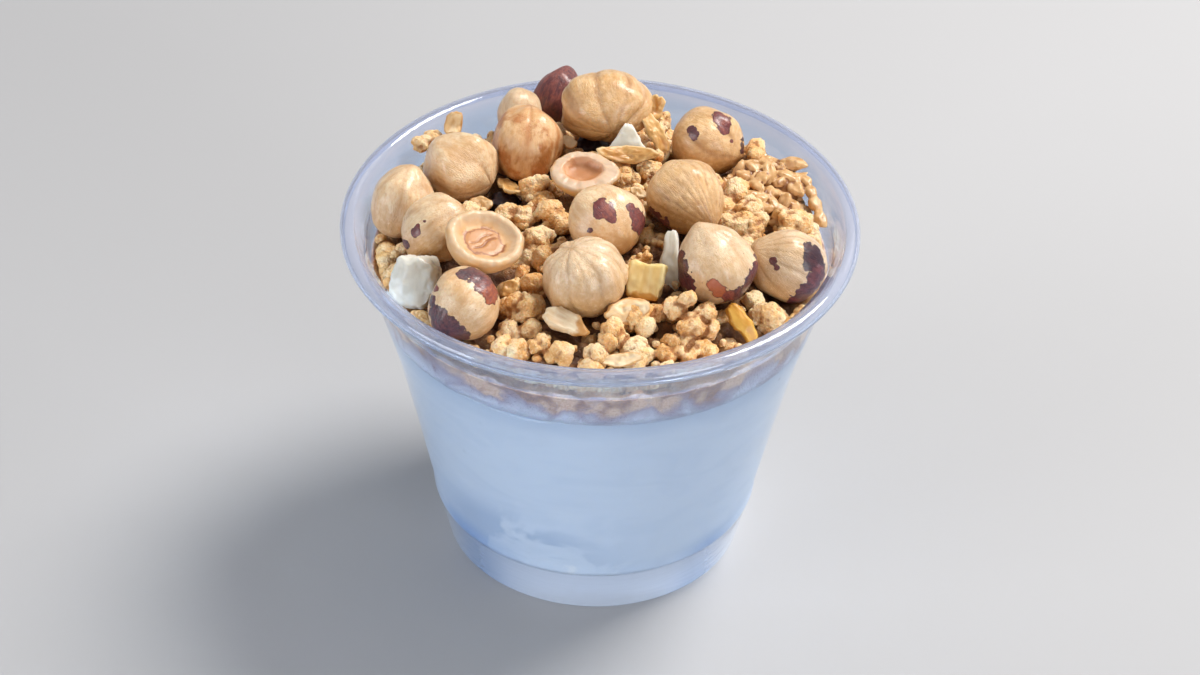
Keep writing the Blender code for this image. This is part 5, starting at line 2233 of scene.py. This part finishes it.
CLUSTERS = tuple(Cluster(*row) for row in (
    ((0.0156, -0.0268, 0.0724), 0.0023),
    ((0.0136, -0.0268, 0.0699), 0.0026),
    ((0.0189, -0.0268, 0.0692), 0.0024),
    ((0.0163, -0.0292, 0.0684), 0.0026),
    ((0.0195, -0.0286, 0.0671), 0.0024),
    ((0.0155, -0.0304, 0.0661), 0.0024),
    ((-0.0130, -0.0253, 0.0680), 0.0033),
    ((-0.0179, -0.0274, 0.0666), 0.0024),
    ((-0.0105, -0.0340, 0.0667), 0.0018),
    ((-0.0082, -0.0319, 0.0683), 0.0018),
    ((-0.0054, -0.0340, 0.0669), 0.0018),
    ((-0.0078, -0.0354, 0.0655), 0.0016),
    ((-0.0163, -0.0329, 0.0655), 0.0024),
    ((-0.0014, -0.0343, 0.0669), 0.0033),
    ((0.0025, -0.0309, 0.0684), 0.0024),
    ((0.0036, -0.0320, 0.0667), 0.0019),
    ((0.0048, -0.0268, 0.0682), 0.0030, 2, 0.0020),
    ((0.0070, -0.0335, 0.0657), 0.0031),
    ((0.0118, -0.0335, 0.0650), 0.0021),
    ((0.0141, -0.0326, 0.0652), 0.0023),
    ((0.0176, -0.0319, 0.0655), 0.0023),
    ((0.0162, -0.0334, 0.0642), 0.0019),
    ((0.0283, -0.0238, 0.0665), 0.0028, 3, 0.0026),
    ((0.0245, -0.0285, 0.0650), 0.0021, 2, 0.0022),
    ((0.0100, -0.0248, 0.0681), 0.0020),
    ((0.0086, -0.0222, 0.0658), 0.0020, 2, 0.0020),
    ((-0.0312, -0.0245, 0.0635), 0.0019, 3, 0.0026),
    ((-0.0119, -0.0083, 0.0700), 0.0033),
    ((-0.0130, -0.0112, 0.0688), 0.0024),
    ((-0.0092, 0.0003, 0.0710), 0.0031),
    ((-0.0071, 0.0040, 0.0703), 0.0022),
    ((-0.0110, 0.0100, 0.0708), 0.0026),
    ((-0.0100, 0.0066, 0.0697), 0.0023),
    ((-0.0154, -0.0195, 0.0682), 0.0019),
    ((-0.0143, -0.0157, 0.0691), 0.0018),
    ((-0.0148, 0.0010, 0.0690), 0.0019, 2, 0.0018),
    ((0.0038, 0.0135, 0.0724), 0.0022),
    ((0.0086, 0.0133, 0.0722), 0.0023),
    ((0.0073, 0.0155, 0.0734), 0.0018),
    ((0.0096, 0.0118, 0.0704), 0.0019),
    ((0.0066, 0.0094, 0.0701), 0.0019),
    ((0.0105, -0.0055, 0.0684), 0.0020, 3, 0.0022),
    ((0.0230, 0.0018, 0.0686), 0.0021, 2, 0.0020),
    ((0.0257, 0.0030, 0.0677), 0.0021),
    ((0.0288, 0.0030, 0.0683), 0.0027, 3, 0.0026),
    ((0.0275, -0.0008, 0.0671), 0.0022, 2, 0.0020),
    ((0.0336, 0.0022, 0.0665), 0.0021, 2, 0.0020),
    ((-0.0349, -0.0046, 0.0658), 0.0019, 2, 0.0020),
    ((0.0102, 0.0255, 0.0732), 0.0022, 3, 0.0026),
    ((0.0285, 0.0225, 0.0700), 0.0022, 2, 0.0022),
    ((-0.0080, 0.0249, 0.0710), 0.0018, 2, 0.0016),
    ((-0.0320, 0.0238, 0.0702), 0.0024, 4, 0.0028),
))

FLAKES = tuple(Flake(*row) for row in (
    ((0.0045, 0.0138, 0.0750), (0.0115, 0.0036, 0.0008), (1, 0.1, -0.12), (0.1, -0.6, 0.8), 0.0014, True),
    ((0.0098, 0.0210, 0.0756), (0.0098, 0.0032, 0.0009),
     (0.5, -0.55, -0.65), (0.3, -0.6, 0.7), -0.0010, True),
    ((0.0098, 0.0262, 0.0775), (0.0052, 0.0036, 0.0009), (0.3, 0.4, 0.8), (0.3, -0.6, 0.7), 0.0006, True),
    ((0.0050, -0.0280, 0.0703), (0.0080, 0.0046, 0.0009), (0.9, 0.25, 0.15), (0.1, -0.6, 0.8), 0.0008),
    ((-0.0133, -0.0339, 0.0658), (0.0026, 0.0020, 0.0009), (0.6, 0.5, 0.5), (0, -0.7, 0.7), 0.0002, True),
    ((0.0043, -0.0372, 0.0668), (0.0072, 0.0026, 0.0006), (1, 0.15, 0.1), (0, -0.6, 0.8), 0.0004),
    ((-0.0157, -0.0204, 0.0690), (0.0036, 0.0028, 0.0012), (0.6, 0.5, 0.5), (0, -0.7, 0.7), 0.0003, True),
    ((-0.0221, 0.0060, 0.0683), (0.0045, 0.0030, 0.0008), (1, 0, 0.1), (0, -0.6, 0.8), 0.0004),
    ((-0.0063, 0.0204, 0.0730), (0.0030, 0.0026, 0.0010), (1, 0, -0.3), (0, -0.6, 0.8), 0.0003),
    ((-0.0171, 0.0103, 0.0693), (0.0068, 0.0036, 0.0009),
     (0.37, -0.9, 0.15), (0.3, -0.3, 0.9), 0.0008, True),
    ((0.0068, 0.0046, 0.0728), (0.0036, 0.0022, 0.0008), (0.9, 0, -0.4), (0, -0.6, 0.8), 0.0002),
    ((-0.0281, 0.0248, 0.0735), (0.0046, 0.0034, 0.0008), (0.2, 0.6, 0.8), (0, -0.8, 0.5), 0.0005),
))

PRONGS = (
    ((0.0362, 0.0205, 0.0694), (0.80, -0.50, 0.20)),
    ((0.0350, 0.0205, 0.0686), (0.50, -0.60, 0.30)),
    ((0.0356, 0.0190, 0.0676), (0.20, -0.50, 0.80)),
    ((0.0340, 0.0215, 0.0676), (0.30, 0.20, 0.90)),
    ((0.0384, 0.0160, 0.0684), (0.50, -0.80, -0.10)),
    ((0.0392, 0.0138, 0.0676), (0.35, -0.90, -0.20)),
    ((0.0399, 0.0110, 0.0668), (0.35, -0.90, -0.25)),
    ((0.0406, 0.0080, 0.0659), (0.25, -0.92, -0.30)),
)


# --- the studio --------------------------------------------------


@dataclass
class Studio:
    """A plain pale floor, soft lamps and even light from all round."""

    floor_half: float = 3.0
    lit_height: float = 0.05
    sky: Colour = (0.92, 0.95, 1.0)
    sky_strength: float = 0.33
    lamps: tuple[tuple[str, Place, float, float, Colour], ...] = (
        ("key", (0.40, 0.26, 0.70), 0.38, 8.2, (1.0, 0.97, 0.93)),
        ("front", (0.66, -0.92, 0.26), 0.60, 5.0, (0.97, 0.98, 1.0)),
        ("left", (-0.95, -0.45, 0.30), 0.60, 5.4, (0.95, 0.97, 1.0)),
    )

    def make_floor(self) -> None:
        """Lay the floor."""
        mesh = bpy.data.meshes.new("floor")
        half = self.floor_half
        corners = [(-half, -half, 0), (half, -half, 0), (half, half, 0), (-half, half, 0)]
        mesh.from_pydata(corners, [], [(0, 1, 2, 3)])
        mesh.materials.append(FLOOR.material())
        floor = bpy.data.objects.new("floor", mesh)
        bpy.context.scene.collection.objects.link(floor)

    def make_lamps(self) -> None:
        """Hang the lamps and point them at the cup."""
        for name, place, size, power, colour in self.lamps:
            data = bpy.data.lights.new(name, "AREA")
            data.shape = "DISK"
            data.size = size
            data.energy = power
            data.color = colour
            lamp = bpy.data.objects.new(name, data)
            lamp.location = place
            away = Vector(place) - Vector((0, 0, self.lit_height))
            lamp.rotation_euler = away.to_track_quat("Z", "Y").to_euler()
            bpy.context.scene.collection.objects.link(lamp)

    def make(self) -> None:
        """Make the floor, the lamps and the sky, and set how light becomes colour."""
        self.make_floor()
        self.make_lamps()
        world = bpy.data.worlds.new("studio")
        world.use_nodes = True
        background = world.node_tree.nodes["Background"]
        background.inputs["Color"].default_value = (*self.sky, 1.0)
        background.inputs["Strength"].default_value = self.sky_strength
        bpy.context.scene.world = world
        bpy.context.scene.view_settings.view_transform = "Standard"


def main() -> None:
    """Build everything in order."""
    logging.basicConfig(level=logging.INFO, format="%(message)s")
    VIEW.make()
    Studio().make()
    cup = Cup()
    cup.make()
    Filling(cup).make()
    toppings = [*KERNELS, *HALF_KERNELS, *CUT_PIECES]
    for topping in toppings:
        topping.make()
    Heap(cup, toppings, CLUSTERS, FLAKES, PRONGS).make()


if __name__ == "__main__":
    main()
